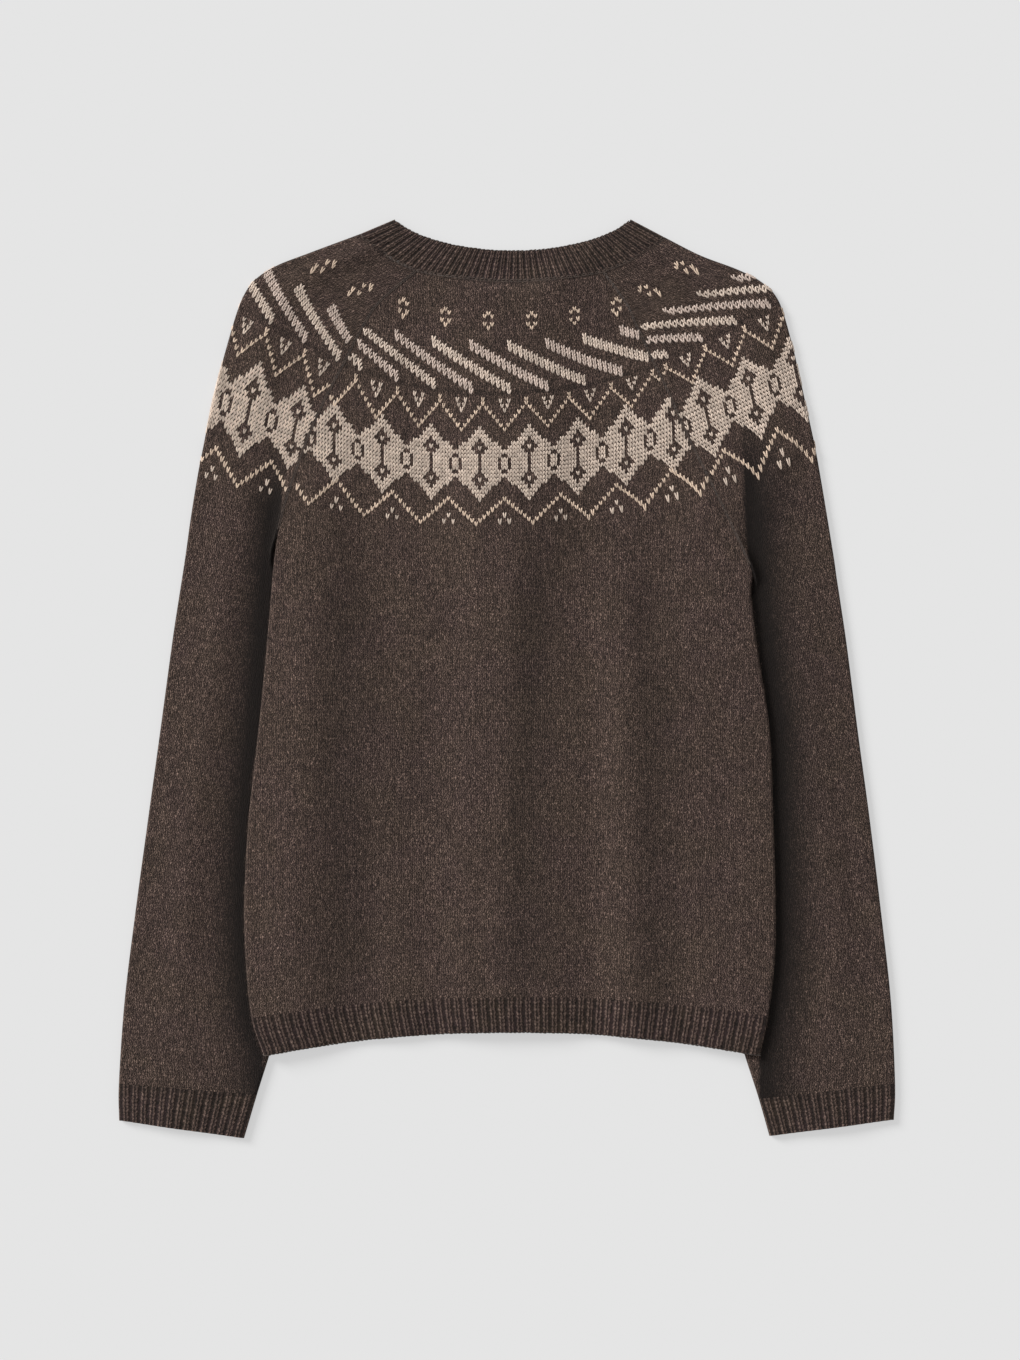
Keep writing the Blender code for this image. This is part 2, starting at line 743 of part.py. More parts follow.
def main():
    """Clear the scene and build every piece."""
    for old in list(bpy.data.objects):
        bpy.data.objects.remove(old, do_unlink=True)

    wool = finish("brown_heather_wool", (0.045, 0.033, 0.027), 0.95, 0.3)
    ribbing = finish("brown_heather_rib", (0.040, 0.029, 0.024), 0.95, 0.3)
    horn = finish("dark_horn", (0.030, 0.018, 0.011), 0.35, 0.0)

    yoke_rows = [0, 0.5, 1, 2, 2.5, 3, 3.5, 4, 5, 6, 7, 8, ARMPIT]
    body_rows = yoke_rows + [9.5, 10, 10.4, 10.8, 11.3, 12, 13, 14, 15, HEM_SEAM]
    hem_start = HEM_SEAM + SEAM_STEP / HEM_DEPTH
    sleeve_rows = yoke_rows + [9.5, 10, 10.5, 11, 12, 13, 14, 15, 16, 17, CUFF_SEAM]
    cuff_rows = [CUFF_SEAM + SEAM_STEP / HEM_DEPTH, CUFF]

    plain = np.zeros(2 * FRONT_COLUMNS + 1)
    back_wall("back", body_rows, back_stations, plain, wool)
    ribs = rib_wave(HEM_RIBS, 2 * HEM_RIBS + 1)

    def rib_stations(start, stop):
        return np.linspace(start, stop, len(ribs))

    back_wall("back_hem_rib", [hem_start, HEM], rib_stations, ribs, ribbing)

    for side in (LEFT, RIGHT):
        front_wall(f"{side.name}_front", side, body_rows, wool)
        hem_rows = [hem_start, FRONT_HEM_ROW]
        front_wall(f"{side.name}_front_hem_rib", side, hem_rows, ribbing)
        sleeve_wall(f"{side.name}_sleeve", side, sleeve_rows, 9, 7, np.zeros(9), wool)
        cuff_columns = 2 * CUFF_RIBS + 1
        cuff_ribs = rib_wave(CUFF_RIBS, cuff_columns)
        sleeve_wall(f"{side.name}_cuff", side, cuff_rows, cuff_columns, 7, cuff_ribs, ribbing)

    neck_rib("neck_rib", ribbing)
    band("buttonhole_band", LOWER_BAND_Z, ribbing)
    band("button_band", UPPER_BAND_Z, ribbing)
    centre_x = (BAND_LEFT + BAND_RIGHT) / 2
    heights = np.linspace(BUTTON_LOWEST_Y, BUTTON_HIGHEST_Y, BUTTON_COUNT)
    for number, y in enumerate(heights, 1):
        button(f"button_{number}", centre_x, y, horn)


main()
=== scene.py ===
"""Round-yoke cardigan of brown heather wool, laid flat with its back up.

The garment lies on Z = 0, hem towards -Y and neck towards +Y, with the
wearer's right side at +X. Every cloth piece is a thin shell between an outer
and an inner grid of points, in the form of the solid that it replaces, with
the creases added. Its UV map counts stitches: U counts wales and V counts
rows, both up towards the neck. The light stitches of the yoke are a chart,
worked as raised V stitches that follow the cloth. Lengths are in
millimetres until a mesh is made, in metres.
"""

import json
import logging
import math
from dataclasses import dataclass, field
from enum import Enum
from functools import cached_property
from typing import Callable, NamedTuple, Optional, Sequence

import bmesh
import bpy
import numpy as np
from mathutils import Matrix, Vector

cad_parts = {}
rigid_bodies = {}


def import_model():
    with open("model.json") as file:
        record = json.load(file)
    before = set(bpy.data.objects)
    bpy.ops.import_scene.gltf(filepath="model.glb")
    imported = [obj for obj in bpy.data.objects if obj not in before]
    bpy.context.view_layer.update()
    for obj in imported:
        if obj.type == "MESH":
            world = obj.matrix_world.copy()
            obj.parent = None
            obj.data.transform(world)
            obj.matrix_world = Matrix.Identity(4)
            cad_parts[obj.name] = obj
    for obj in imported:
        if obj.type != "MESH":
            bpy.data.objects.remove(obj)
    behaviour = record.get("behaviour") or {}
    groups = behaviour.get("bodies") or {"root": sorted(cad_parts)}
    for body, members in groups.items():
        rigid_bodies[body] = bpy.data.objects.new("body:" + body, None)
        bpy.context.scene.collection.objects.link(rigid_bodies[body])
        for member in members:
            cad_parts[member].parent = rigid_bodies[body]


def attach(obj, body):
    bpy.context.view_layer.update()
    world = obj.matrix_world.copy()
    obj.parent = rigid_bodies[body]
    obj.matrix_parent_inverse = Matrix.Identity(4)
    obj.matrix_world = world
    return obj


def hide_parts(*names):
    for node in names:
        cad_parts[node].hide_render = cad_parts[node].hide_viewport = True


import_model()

LOG = logging.getLogger("cardigan")
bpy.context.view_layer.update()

METRE = 0.001
PLAN_CENTRE = np.array((0.4, -1.0, 0.0))  # middle of the outline, brought to the origin
PIXEL = 0.8  # millimetres to one pixel of the photograph, the unit of the charts
LEVEL_DOWN = 677.5  # pixels down the photograph to Y = 0
CENTRE_X = -1.4  # middle line of the yoke's pattern
WALE = 2.9  # width of a stitch
COURSE = 3.1  # height of a stitch
RIB_DEPTH = 28.0  # about, of a piece of ribbing
ARMPIT, HEM_SEAM, HEM = 9, 16, 17  # numbered rows
CUFF_SEAM, CUFF = 18, 19
FRONT_HEM = 16.97  # the fronts end just short of the back
EDGE_POINTS = 4  # that round the edge of a layer
NECK_BOW = 2.7  # dip of a sleeve's neck seam
SHARP_ANGLE = 62  # degrees, from which an edge is shaded sharp
SEED = 1947


class Yarn(Enum):
    """The light yarns of the yoke."""

    OATMEAL = 0
    CREAM = 1
    ROSE = 2


class YokeRow(NamedTuple):
    """One numbered row round the yoke: centre back, raglan seams and shoulder folds."""

    centre_y: float
    left_seam_x: float
    left_seam_y: float
    left_fold_x: float
    left_fold_y: float
    left_crease: float
    right_seam_x: float
    right_seam_y: float
    right_fold_x: float
    right_fold_y: float
    right_crease: float


class BodyRow(NamedTuple):
    """One numbered row of the body below the armpit."""

    centre_y: float
    left_x: float
    left_y: float
    right_x: float
    right_y: float


class SleeveRow(NamedTuple):
    """One numbered row of a sleeve below the armpit."""

    inner_x: float
    inner_y: float
    outer_x: float
    outer_y: float


YOKE_ROWS = (
    YokeRow(316.6, -71.6, 325.2, -116.6, 354.6, 0.50, 77.2, 324.4, 125.6, 352.2, 0.50),
    YokeRow(284.0, -100.4, 301.2, -158.8, 338.9, 0.50, 95.6, 298.8, 154.8, 337.4, 0.50),
    YokeRow(269.2, -112.4, 284.4, -184.4, 328.8, 0.50, 102.4, 284.4, 184.8, 326.0, 0.50),
    YokeRow(248.8, -121.1, 268.6, -202.4, 316.4, 0.50, 110.0, 268.2, 204.4, 315.6, 0.52),
    YokeRow(228.4, -129.2, 252.4, -213.2, 298.0, 0.50, 117.6, 251.6, 217.6, 300.8, 0.55),
    YokeRow(198.0, -145.2, 222.0, -223.9, 263.6, 0.34, 129.2, 228.4, 227.4, 270.0, 0.60),
    YokeRow(170.4, -158.0, 193.2, -234.4, 223.6, 0.25, 142.0, 198.8, 233.8, 242.8, 0.50),
    YokeRow(141.2, -167.6, 166.0, -242.4, 184.4, 0.13, 154.8, 172.4, 242.0, 206.0, 0.38),
    YokeRow(121.2, -175.6, 142.0, -247.2, 159.6, 0.05, 166.8, 148.4, 248.9, 172.4, 0.28),
    YokeRow(94.0, -181.6, 118.0, -252.6, 126.0, 0.00, 193.6, 90.0, 260.8, 101.2, 0.00),
)
BODY_ROWS = (
    BodyRow(74.0, -185.7, 89.2, 195.2, 66.0),
    BodyRow(28.0, -190.8, 30.0, 200.4, 22.0),
    BodyRow(-36.0, -197.7, -41.2, 210.0, -42.0),
    BodyRow(-102.0, -205.5, -110.8, 212.8, -110.8),
    BodyRow(-166.0, -209.2, -178.0, 214.8, -178.0),
    BodyRow(-211.0, -208.0, -226.0, 214.0, -226.0),
    BodyRow(-254.8, -203.4, -271.6, 208.9, -270.0),
    BodyRow(-282.2, -194.0, -301.2, 202.0, -301.2),
)
LEFT_SLEEVE_ROWS = (
    SleeveRow(-186.3, 89.2, -256.6, 97.2),
    SleeveRow(-165.2, 59.6, -260.8, 70.0),
    SleeveRow(-139.6, 20.4, -266.0, 36.4),
    SleeveRow(-134.8, -23.6, -271.8, -6.0),
    SleeveRow(-139.6, -64.4, -277.2, -46.0),
    SleeveRow(-153.2, -133.2, -286.6, -114.0),
    SleeveRow(-167.6, -205.2, -296.4, -186.0),
    SleeveRow(-182.0, -275.6, -305.2, -258.0),
    SleeveRow(-199.3, -333.2, -309.8, -324.4),
    SleeveRow(-209.6, -368.0, -309.6, -354.0),
)
RIGHT_SLEEVE_ROWS = (
    SleeveRow(195.8, 66.0, 263.8, 80.4),
    SleeveRow(174.0, 42.0, 267.0, 59.6),
    SleeveRow(148.4, 12.4, 271.4, 30.0),
    SleeveRow(142.0, -27.6, 276.6, -10.0),
    SleeveRow(146.8, -64.4, 281.3, -46.8),
    SleeveRow(159.6, -132.4, 290.4, -114.0),
    SleeveRow(172.4, -203.6, 299.2, -186.0),
    SleeveRow(183.0, -274.8, 307.2, -258.0),
    SleeveRow(201.5, -336.4, 310.6, -324.4),
    SleeveRow(210.0, -366.2, 309.6, -353.4),
)
NECK_PEAKS = {"left": (-89.3, 366.1), "right": (99.2, 366.1)}


# Curves


def ease(t: np.ndarray) -> np.ndarray:
    """Smooth step from 0 to 1.

    Args:
        t: Any numbers; below 0 gives 0 and above 1 gives 1.

    Returns:
        The eased numbers.
    """
    t = np.clip(t, 0.0, 1.0)
    return t * t * (3 - 2 * t)


def along(table: np.ndarray, t: float) -> np.ndarray:
    """Point at row number t of a smooth curve through a table's rows.

    Args:
        table: One row of numbers for each numbered row of knitting.
        t: Row number, whole or not.

    Returns:
        The row of numbers there.
    """
    last = len(table) - 1
    i = int(min(max(math.floor(t), 0), last - 1))
    f = t - i
    here, after = table[i], table[i + 1]
    before = table[i - 1] if i > 0 else 2 * here - after
    beyond = table[i + 2] if i + 2 <= last else 2 * after - here
    return 0.5 * (
        2 * here
        + (after - before) * f
        + (2 * before - 5 * here + 4 * after - beyond) * f * f
        + (3 * here - before - 3 * after + beyond) * f ** 3
    )


def unit(vector: Sequence[float]) -> np.ndarray:
    """The vector at length 1."""
    return np.asarray(vector, float) / np.linalg.norm(vector)


def lengths_along(points: np.ndarray) -> np.ndarray:
    """Distance from the first point to each point of a line."""
    steps = np.linalg.norm(np.diff(points, axis=0), axis=1)
    return np.concatenate([[0.0], np.cumsum(steps)])


def read_line(points: np.ndarray, reached: np.ndarray, where: np.ndarray) -> np.ndarray:
    """Points of a line at distances along it, or along a line beside it.

    Args:
        points: The line's points.
        reached: Distance of each of them.
        where: The distances to read at.

    Returns:
        A point for each distance.
    """
    return np.stack([np.interp(where, reached, column) for column in points.T], axis=-1)


def polyline(points: Sequence[Sequence[float]], share: float) -> np.ndarray:
    """Point at a share of the length of a line of points."""
    line = np.asarray(points, float)
    reached = lengths_along(line)
    return read_line(line, reached, share * reached[-1])


def units(vectors: np.ndarray) -> np.ndarray:
    """Each row of some vectors at length 1."""
    return vectors / np.linalg.norm(vectors, axis=1)[:, None]


def dots(one: np.ndarray, other: np.ndarray) -> np.ndarray:
    """Dot product of each row of two sets of vectors, as a column."""
    return np.einsum("ij,ij->i", one, other)[:, None]


def rib_wave(ribs: int, count: int, rise: float) -> np.ndarray:
    """Rise of points over a number of ribs, none at both ends."""
    return rise * np.sin(np.linspace(0, math.pi * ribs, count)) ** 2


class Side:
    """One side of the garment with its tables of numbered rows."""

    def __init__(self, name: str, sign: int, sleeve_rows: Sequence[SleeveRow], band_x: float):
        """Gather the side's rows.

        Args:
            name: The wearer's side, left or right.
            sign: -1 on the left and +1 on the right.
            sleeve_rows: Rows of the sleeve below the armpit.
            band_x: Edge of the front bands that this side's front meets.
        """
        self.name, self.sign, self.band_x = name, sign, band_x
        fields = ("seam_x", "seam_y", "fold_x", "fold_y", "crease")
        yoke = np.array([[getattr(r, f"{name}_{f}") for f in fields] for r in YOKE_ROWS])
        below = np.array([(*row, 0.0) for row in sleeve_rows])
        body = np.array([(getattr(r, f"{name}_x"), getattr(r, f"{name}_y")) for r in BODY_ROWS])
        self.sleeve = np.vstack([yoke, below])
        self.edge = np.vstack([yoke[:, :2], body])
        self.armpit_y = yoke[-1, 1]
        self.peak = np.array(NECK_PEAKS[name])

    def inner_line(self, y: np.ndarray) -> np.ndarray:
        """X of the sleeve's inner edge, or of the raglan seam above it, at y."""
        order = np.argsort(self.sleeve[:, 1])
        return np.interp(y, self.sleeve[order, 1], self.sleeve[order, 0])

    def body_line(self, y: np.ndarray) -> np.ndarray:
        """X of the body's side edge at y."""
        order = np.argsort(self.edge[:, 1])
        return np.interp(y, self.edge[order, 1], self.edge[order, 0])


class Fold(NamedTuple):
    """One long straight fold of the body, from its top to its bottom."""

    top_x: float
    top_y: float
    bottom_x: float
    bottom_y: float
    half_width: float
    height: float


class Stroke(NamedTuple):
    """One soft ridge of the cloth, drawn along a line of points."""

    line: tuple[tuple[float, float], ...]
    half_width: float
    height: float
    fade: float = 0.22  # share of the length over which each end fades

    def rise(self, x: np.ndarray, y: np.ndarray) -> np.ndarray:
        """How far the ridge lifts the cloth.

        Args:
            x: Places across the garment.
            y: Places along it.

        Returns:
            The lift at each place.
        """
        points = np.asarray(self.line, float)
        reached = lengths_along(points)
        nearest = np.full(np.shape(x), np.inf)
        share = np.zeros(np.shape(x))
        for a, b, start in zip(points, points[1:], reached):
            step = b - a
            length = np.linalg.norm(step)
            t = np.clip(((x - a[0]) * step[0] + (y - a[1]) * step[1]) / length ** 2, 0, 1)
            away = np.hypot(x - a[0] - step[0] * t, y - a[1] - step[1] * t)
            share = np.where(away < nearest, (start + length * t) / reached[-1], share)
            nearest = np.minimum(nearest, away)
        faded = ease(share / self.fade) * ease((1 - share) / self.fade)
        return self.height * (1 - ease(nearest / self.half_width)) * faded


@dataclass(frozen=True)
class Form:
    """The garment's form: its layers, folds and creases, with their sizes."""

    seam: float = 0.3
    seam_step: float = 0.08
    cloth: float = 2.0
    air: float = 0.8
    puff: float = 2.4
    lower_band_z: float = 2.8
    upper_band_z: float = 5.5
    band_thick: float = 2.4
    band_left: float = -12.0
    band_right: float = 18.0
    band_left_slope: float = 50.0
    band_right_slope: float = 40.0
    hump_air: float = 0.4
    hump_margin: float = 2.0
    hump_left_slope: float = 58.0
    hump_right_slope: float = 55.0
    lift_margin: float = 12.0
    lift_slope: float = 60.0
    lift_fade_start: float = 10.0
    lift_fade: float = 100.0
    front_neck_y: float = 266.5
    front_neck_edge_y: float = 290.5
    front_raglan_in: float = 25.4
    front_raglan_down: float = 10.2
    neck_drop_centre: float = 3.0
    neck_drop_half: float = 92.0
    neck_drop_rise: float = 75.0
    neck_drop_margin: float = 8.0
    neck_drop_slope: float = 30.0
    fold_start: float = 0.25
    fold_tail: float = 0.6
    fold_below: float = 0.5
    left: Side = field(default_factory=lambda: Side("left", -1, LEFT_SLEEVE_ROWS, -12.0))
    right: Side = field(default_factory=lambda: Side("right", 1, RIGHT_SLEEVE_ROWS, 18.0))
    folds: tuple[Fold, ...] = (
        Fold(84.0, 120.0, 107.0, -300.0, 44.0, 5.0),
        Fold(-66.0, 150.0, -84.0, -300.0, 34.0, 2.2),
        Fold(20.0, 250.0, -6.0, 60.0, 60.0, 1.6),
    )
    body_strokes: tuple[Stroke, ...] = (
        Stroke(((-148, 170), (-155, 50), (-166, -110), (-168, -310)), 40.0, 5.0),
        Stroke(((-20, 240), (-14, 60), (-26, -120), (-28, -310)), 46.0, 2.4),
        Stroke(((12, 180), (6, 60), (0, -120), (-2, -310)), 22.0, 2.2),
        Stroke(((84, 140), (92, 30), (96, -100), (98, -310)), 28.0, 3.0),
        Stroke(((172, 80), (186, -40), (192, -180), (184, -310)), 20.0, 0.7),
        Stroke(((46, 60), (56, -60), (52, -190)), 20.0, 1.0),
        Stroke(((-100, -40), (-94, -130), (-104, -300)), 18.0, 1.0),
        Stroke(((-164, 176), (-140, 120), (-112, 60)), 15.0, 1.4),
        Stroke(((168, 150), (146, 104), (126, 40)), 15.0, 1.4),
    )
    left_strokes: tuple[Stroke, ...] = (
        Stroke(((-222, 120), (-232, 20), (-252, -120), (-262, -300)), 20.0, 1.6),
        Stroke(((-238, 190), (-214, 150), (-196, 128)), 11.0, 1.3),
        Stroke(((-248, 60), (-262, -40), (-278, -150)), 13.0, 0.9),
    )
    right_strokes: tuple[Stroke, ...] = (
        Stroke(((232, 110), (240, 10), (256, -120), (268, -300)), 20.0, 1.6),
        Stroke(((236, 196), (214, 160), (200, 118)), 11.0, 1.3),
        Stroke(((254, 60), (268, -30), (284, -150)), 13.0, 0.9),
    )
    # Painted shade down the valleys between the body's folds: each height is a shade, not a lift
    trough_shades: tuple[Stroke, ...] = (
        Stroke(((-124, 130), (-128, -20), (-122, -310)), 34.0, 0.24),
        Stroke(((30, 170), (20, 20), (16, -310)), 24.0, 0.24),
        Stroke(((116, 110), (118, -60), (122, -310)), 26.0, 0.20),
    )

    @property
    def sides(self) -> tuple[Side, Side]:
        """Both sides, left first."""
        return self.left, self.right

    @property
    def flat(self) -> float:
        """Height of a flattened tube."""
        return 2 * self.cloth + self.air

    @property
    def round(self) -> float:
        """Outer radius of a tube's folded edges."""
        return self.flat / 2

    @cached_property
    def centre_line(self) -> np.ndarray:
        """Y of each numbered row at centre back."""
        return np.array([[row.centre_y] for row in (*YOKE_ROWS, *BODY_ROWS)])

    @cached_property
    def centre_run(self) -> tuple[np.ndarray, np.ndarray]:
        """Row numbers, whole or not, down centre back, and their Y."""
        numbers = np.linspace(0, HEM, 800)
        return numbers, np.array([along(self.centre_line, n)[0] for n in numbers])

    def row_at(self, down: float) -> float:
        """Row number that lies at some pixels down the photograph at centre back."""
        numbers, centre_y = self.centre_run
        return float(np.interp(-(LEVEL_DOWN - down) * PIXEL, -centre_y, numbers))

    def sleeve_lift(self, x: np.ndarray, y: np.ndarray) -> np.ndarray:
        """How far the body is lifted by the sleeves under its sides."""
        total = 0.0
        for side in self.sides:
            inward = side.sign * (side.inner_line(y) - x) - self.lift_margin
            fade = 1 - ease((y - side.armpit_y - self.lift_fade_start) / self.lift_fade)
            rise = self.flat + self.seam
            total = total + rise * (1 - ease(inward / self.lift_slope)) * fade
        return total

    def fold_height(self, x: np.ndarray, y: np.ndarray) -> np.ndarray:
        """Height of the body's long folds and of its creases."""
        total = 0.0
        for fold in self.folds:
            t = (fold.top_y - y) / (fold.top_y - fold.bottom_y)
            crest = fold.top_x + (fold.bottom_x - fold.top_x) * t
            across = 1 - ease(np.abs(x - crest) / fold.half_width)
            tail = ease((1 + self.fold_tail - t) / self.fold_tail)
            total = total + fold.height * across * ease(t / self.fold_start) * tail
        for stroke in self.body_strokes:
            total = total + stroke.rise(x, y)
        return total

    def band_hump(self, x: np.ndarray) -> np.ndarray:
        """How far the back is lifted by the two front bands under it."""
        left = 1 - ease((self.band_left - self.hump_margin - x) / self.hump_left_slope)
        right = 1 - ease((x - self.band_right - self.hump_margin) / self.hump_right_slope)
        bands_top = self.upper_band_z + self.band_thick
        return (bands_top + self.hump_air + self.cloth - self.flat) * left * right

    def band_rise(self, x: np.ndarray) -> np.ndarray:
        """How far a front is lifted to meet its band."""
        left = 1 - ease((self.band_left - x) / self.band_left_slope)
        right = 1 - ease((x - self.band_right) / self.band_right_slope)
        return self.upper_band_z * left * (x < 0) + self.lower_band_z * right * (x > 0)

    def neck_drop(self, x: np.ndarray, y: np.ndarray) -> np.ndarray:
        """1 where no front lies under the back, inside the front's neckline."""
        across = (x - self.neck_drop_centre) / self.neck_drop_half
        start = self.front_neck_edge_y + self.neck_drop_rise * across ** 2 + self.neck_drop_margin
        return ease((y - start) / self.neck_drop_slope)

    def lower_z(self, x: np.ndarray, y: np.ndarray) -> np.ndarray:
        """Underside of the lower layer."""
        folds = self.fold_below * self.fold_height(x, y)
        return self.sleeve_lift(x, y) + self.band_rise(x) + folds

    def upper_z(self, x: np.ndarray, y: np.ndarray) -> np.ndarray:
        """Top of the upper layer."""
        lift = self.sleeve_lift(x, y) + self.band_hump(x) + self.fold_height(x, y)
        drop = self.neck_drop(x, y)
        return (self.flat + lift) * (1 - drop) + (self.cloth + self.air) * drop

    def body_row(self, row: float) -> tuple[np.ndarray, np.ndarray, float]:
        """Left point, right point and middle Y of a row of the body."""
        middle = float(along(self.centre_line, row)[0])
        return along(self.left.edge, row), along(self.right.edge, row), middle

    def row_y(self, row: float, x: np.ndarray) -> np.ndarray:
        """Y of a row of the body at x."""
        left, right, centre_y = self.body_row(row)
        sag = centre_y - (left[1] + right[1]) / 2
        u = (x - left[0]) / (right[0] - left[0])
        return left[1] + (right[1] - left[1]) * u + sag * (1 - (2 * u - 1) ** 2)

    def front_raglan(self, side: Side, row: float) -> np.ndarray:
        """Point of the front's raglan seam, or of its side edge, at a row."""
        early = max(1 - row / ARMPIT, 0) ** 2
        offset = np.array((side.sign * self.front_raglan_in, -self.front_raglan_down))
        return along(side.edge, row) + offset * early

    def neck_fold_normal(self, side: Side) -> np.ndarray:
        """Outward direction of the neck rib's fold at the shoulder."""
        dx, dy = side.peak - side.sleeve[0, 2:4]
        normal = unit((-dy, dx))
        return normal if normal[1] > 0 else -normal

    def fold_normal(self, side: Side, row: float) -> np.ndarray:
        """Outward direction of the sleeve's outer fold at a row."""
        if row <= 0:
            return self.neck_fold_normal(side)
        reach = 0.25
        ahead = along(side.sleeve, min(row + reach, CUFF))[2:4]
        behind = along(side.sleeve, max(row - reach, 0))[2:4]
        dx, dy = ahead - behind
        normal = unit((dy, -dx))
        return normal if normal[0] * side.sign > 0 else -normal

    def edge_turn(self, row: float) -> list[tuple[float, ...]]:
        """Points that round a layer's edge, from its tip inwards.

        Args:
            row: Row number. The edge ends square down to the armpit, and from
                one row below it on it curls in to meet the other layer's.

        Returns:
            For each, the outward step and rise of its outer and its inner point.
        """
        columns = []
        closed = float(np.clip(row - ARMPIT, 0, 1))
        for angle in np.linspace(0.0, math.pi / 2, EDGE_POINTS + 1)[:-1]:
            flat_step = self.round * (1 - angle / (math.pi / 2))
            values: list[float] = []
            for radius in (self.round, self.round - self.cloth):
                step = radius * math.cos(angle)
                rise = max(radius * math.sin(angle), self.seam / 2)
                values.append(flat_step + (step - flat_step) * closed)
                values.append(radius + (rise - radius) * closed)
            columns.append(tuple(values))
        return columns


FORM = Form()


# Meshes


@dataclass
class Shell:
    """A cloth shell: an outer and an inner grid of points with stitch counts."""

    outer: np.ndarray
    inner: np.ndarray
    wales: np.ndarray
    rows: np.ndarray
    # Painted shade of each point, which darkens the cloth's colour
    painted_shade: Optional[np.ndarray] = None

    def piece(self, name: str, material: bpy.types.Material) -> bpy.types.Object:
        """Close the shell and make it an object.

        Args:
            name: Name of the piece.
            material: Its finish.

        Returns:
            The object, at the origin.
        """
        rows, cols = self.outer.shape[:2]
        count = rows * cols
        points = np.concatenate([self.outer.reshape(-1, 3), self.inner.reshape(-1, 3)])
        points = (points - PLAN_CENTRE) * METRE
        index = np.arange(count).reshape(rows, cols)
        a, b = index[:-1, :-1].ravel(), index[:-1, 1:].ravel()
        c, d = index[1:, 1:].ravel(), index[1:, :-1].ravel()
        top = np.stack([a, b, c, d], axis=1)
        under = np.stack([a, d, c, b], axis=1) + count
        ring = np.concatenate([index[0], index[1:, -1], index[-1, -2::-1], index[-2:0:-1, 0]])
        after = np.roll(ring, -1)
        rim = np.stack([after, ring, ring + count, after + count], axis=1)
        faces = np.concatenate([top, under, rim])
        spread = points[faces]
        diagonals = np.cross(spread[:, 2] - spread[:, 0], spread[:, 3] - spread[:, 1])
        if np.einsum("ij,ij->", spread.mean(axis=1), diagonals) < 0:
            faces = faces[:, ::-1]
        mesh = bpy.data.meshes.new(name)
        mesh.from_pydata(points.tolist(), [], faces.tolist())
        layer = mesh.uv_layers.new(name="stitches")
        uv = np.stack([self.wales.ravel(), self.rows.ravel()], axis=1)
        uv = np.concatenate([uv, uv])
        layer.data.foreach_set("uv", uv[faces.ravel()].astype(np.float32).ravel())
        # Painted shade: darkens the finish's colour in the seams, creases, troughs and the body's
        # shadow
        if self.painted_shade is not None:
            made = mesh.attributes.new("painted_shade", "FLOAT", "POINT")
            both = np.concatenate([self.painted_shade.ravel(), self.painted_shade.ravel()])
            made.data.foreach_set("value", both.astype(np.float32))
        return dressed(name, mesh, material)


def dressed(name: str, mesh: bpy.types.Mesh, material: bpy.types.Material) -> bpy.types.Object:
    """Shade a mesh smooth, give it its finish and put it in the scene.

    Args:
        name: Name of the piece.
        mesh: Its mesh, with its place in it.
        material: Its finish.

    Returns:
        The object.
    """
    mesh.materials.append(material)
    mesh.shade_smooth()
    mesh.set_sharp_from_angle(angle=math.radians(SHARP_ANGLE))
    return put_down(name, mesh)


def put_down(name: str, data: bpy.types.ID) -> bpy.types.Object:
    """Put a new object with this mesh, lamp or camera in the scene."""
    made = bpy.data.objects.new(name, data)
    bpy.context.scene.collection.objects.link(made)
    return made


def pick(piece: bpy.types.Object) -> None:
    """Select one object alone and make it the active one."""
    bpy.ops.object.select_all(action="DESELECT")
    piece.select_set(True)
    bpy.context.view_layer.objects.active = piece


class Cut(NamedTuple):
    """Flat size of a piece of cloth before it was sewn, in metres."""

    width: float
    length: float
    area: float

    def lay(
        self, piece: bpy.types.Object, rests_on: Sequence[str], *others: bpy.types.Object
    ) -> None:
        """Take a piece as cloth cut to this size; nothing is done with it.

        Args:
            piece: The cloth; not used.
            rests_on: Names of what it lies on; not used.
            others: The separate pieces worked on it; not used.
        """


def declare(piece: bpy.types.Object, slot: str, *nodes: str) -> None:
    """Fix a piece to the frame: its body and the nodes it stands for."""
    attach(piece, "root")
    if nodes:
        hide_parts(*nodes)
    LOG.info("%s: %d faces", piece.name, len(piece.data.polygons))


# Finishes


Socket = bpy.types.NodeSocket


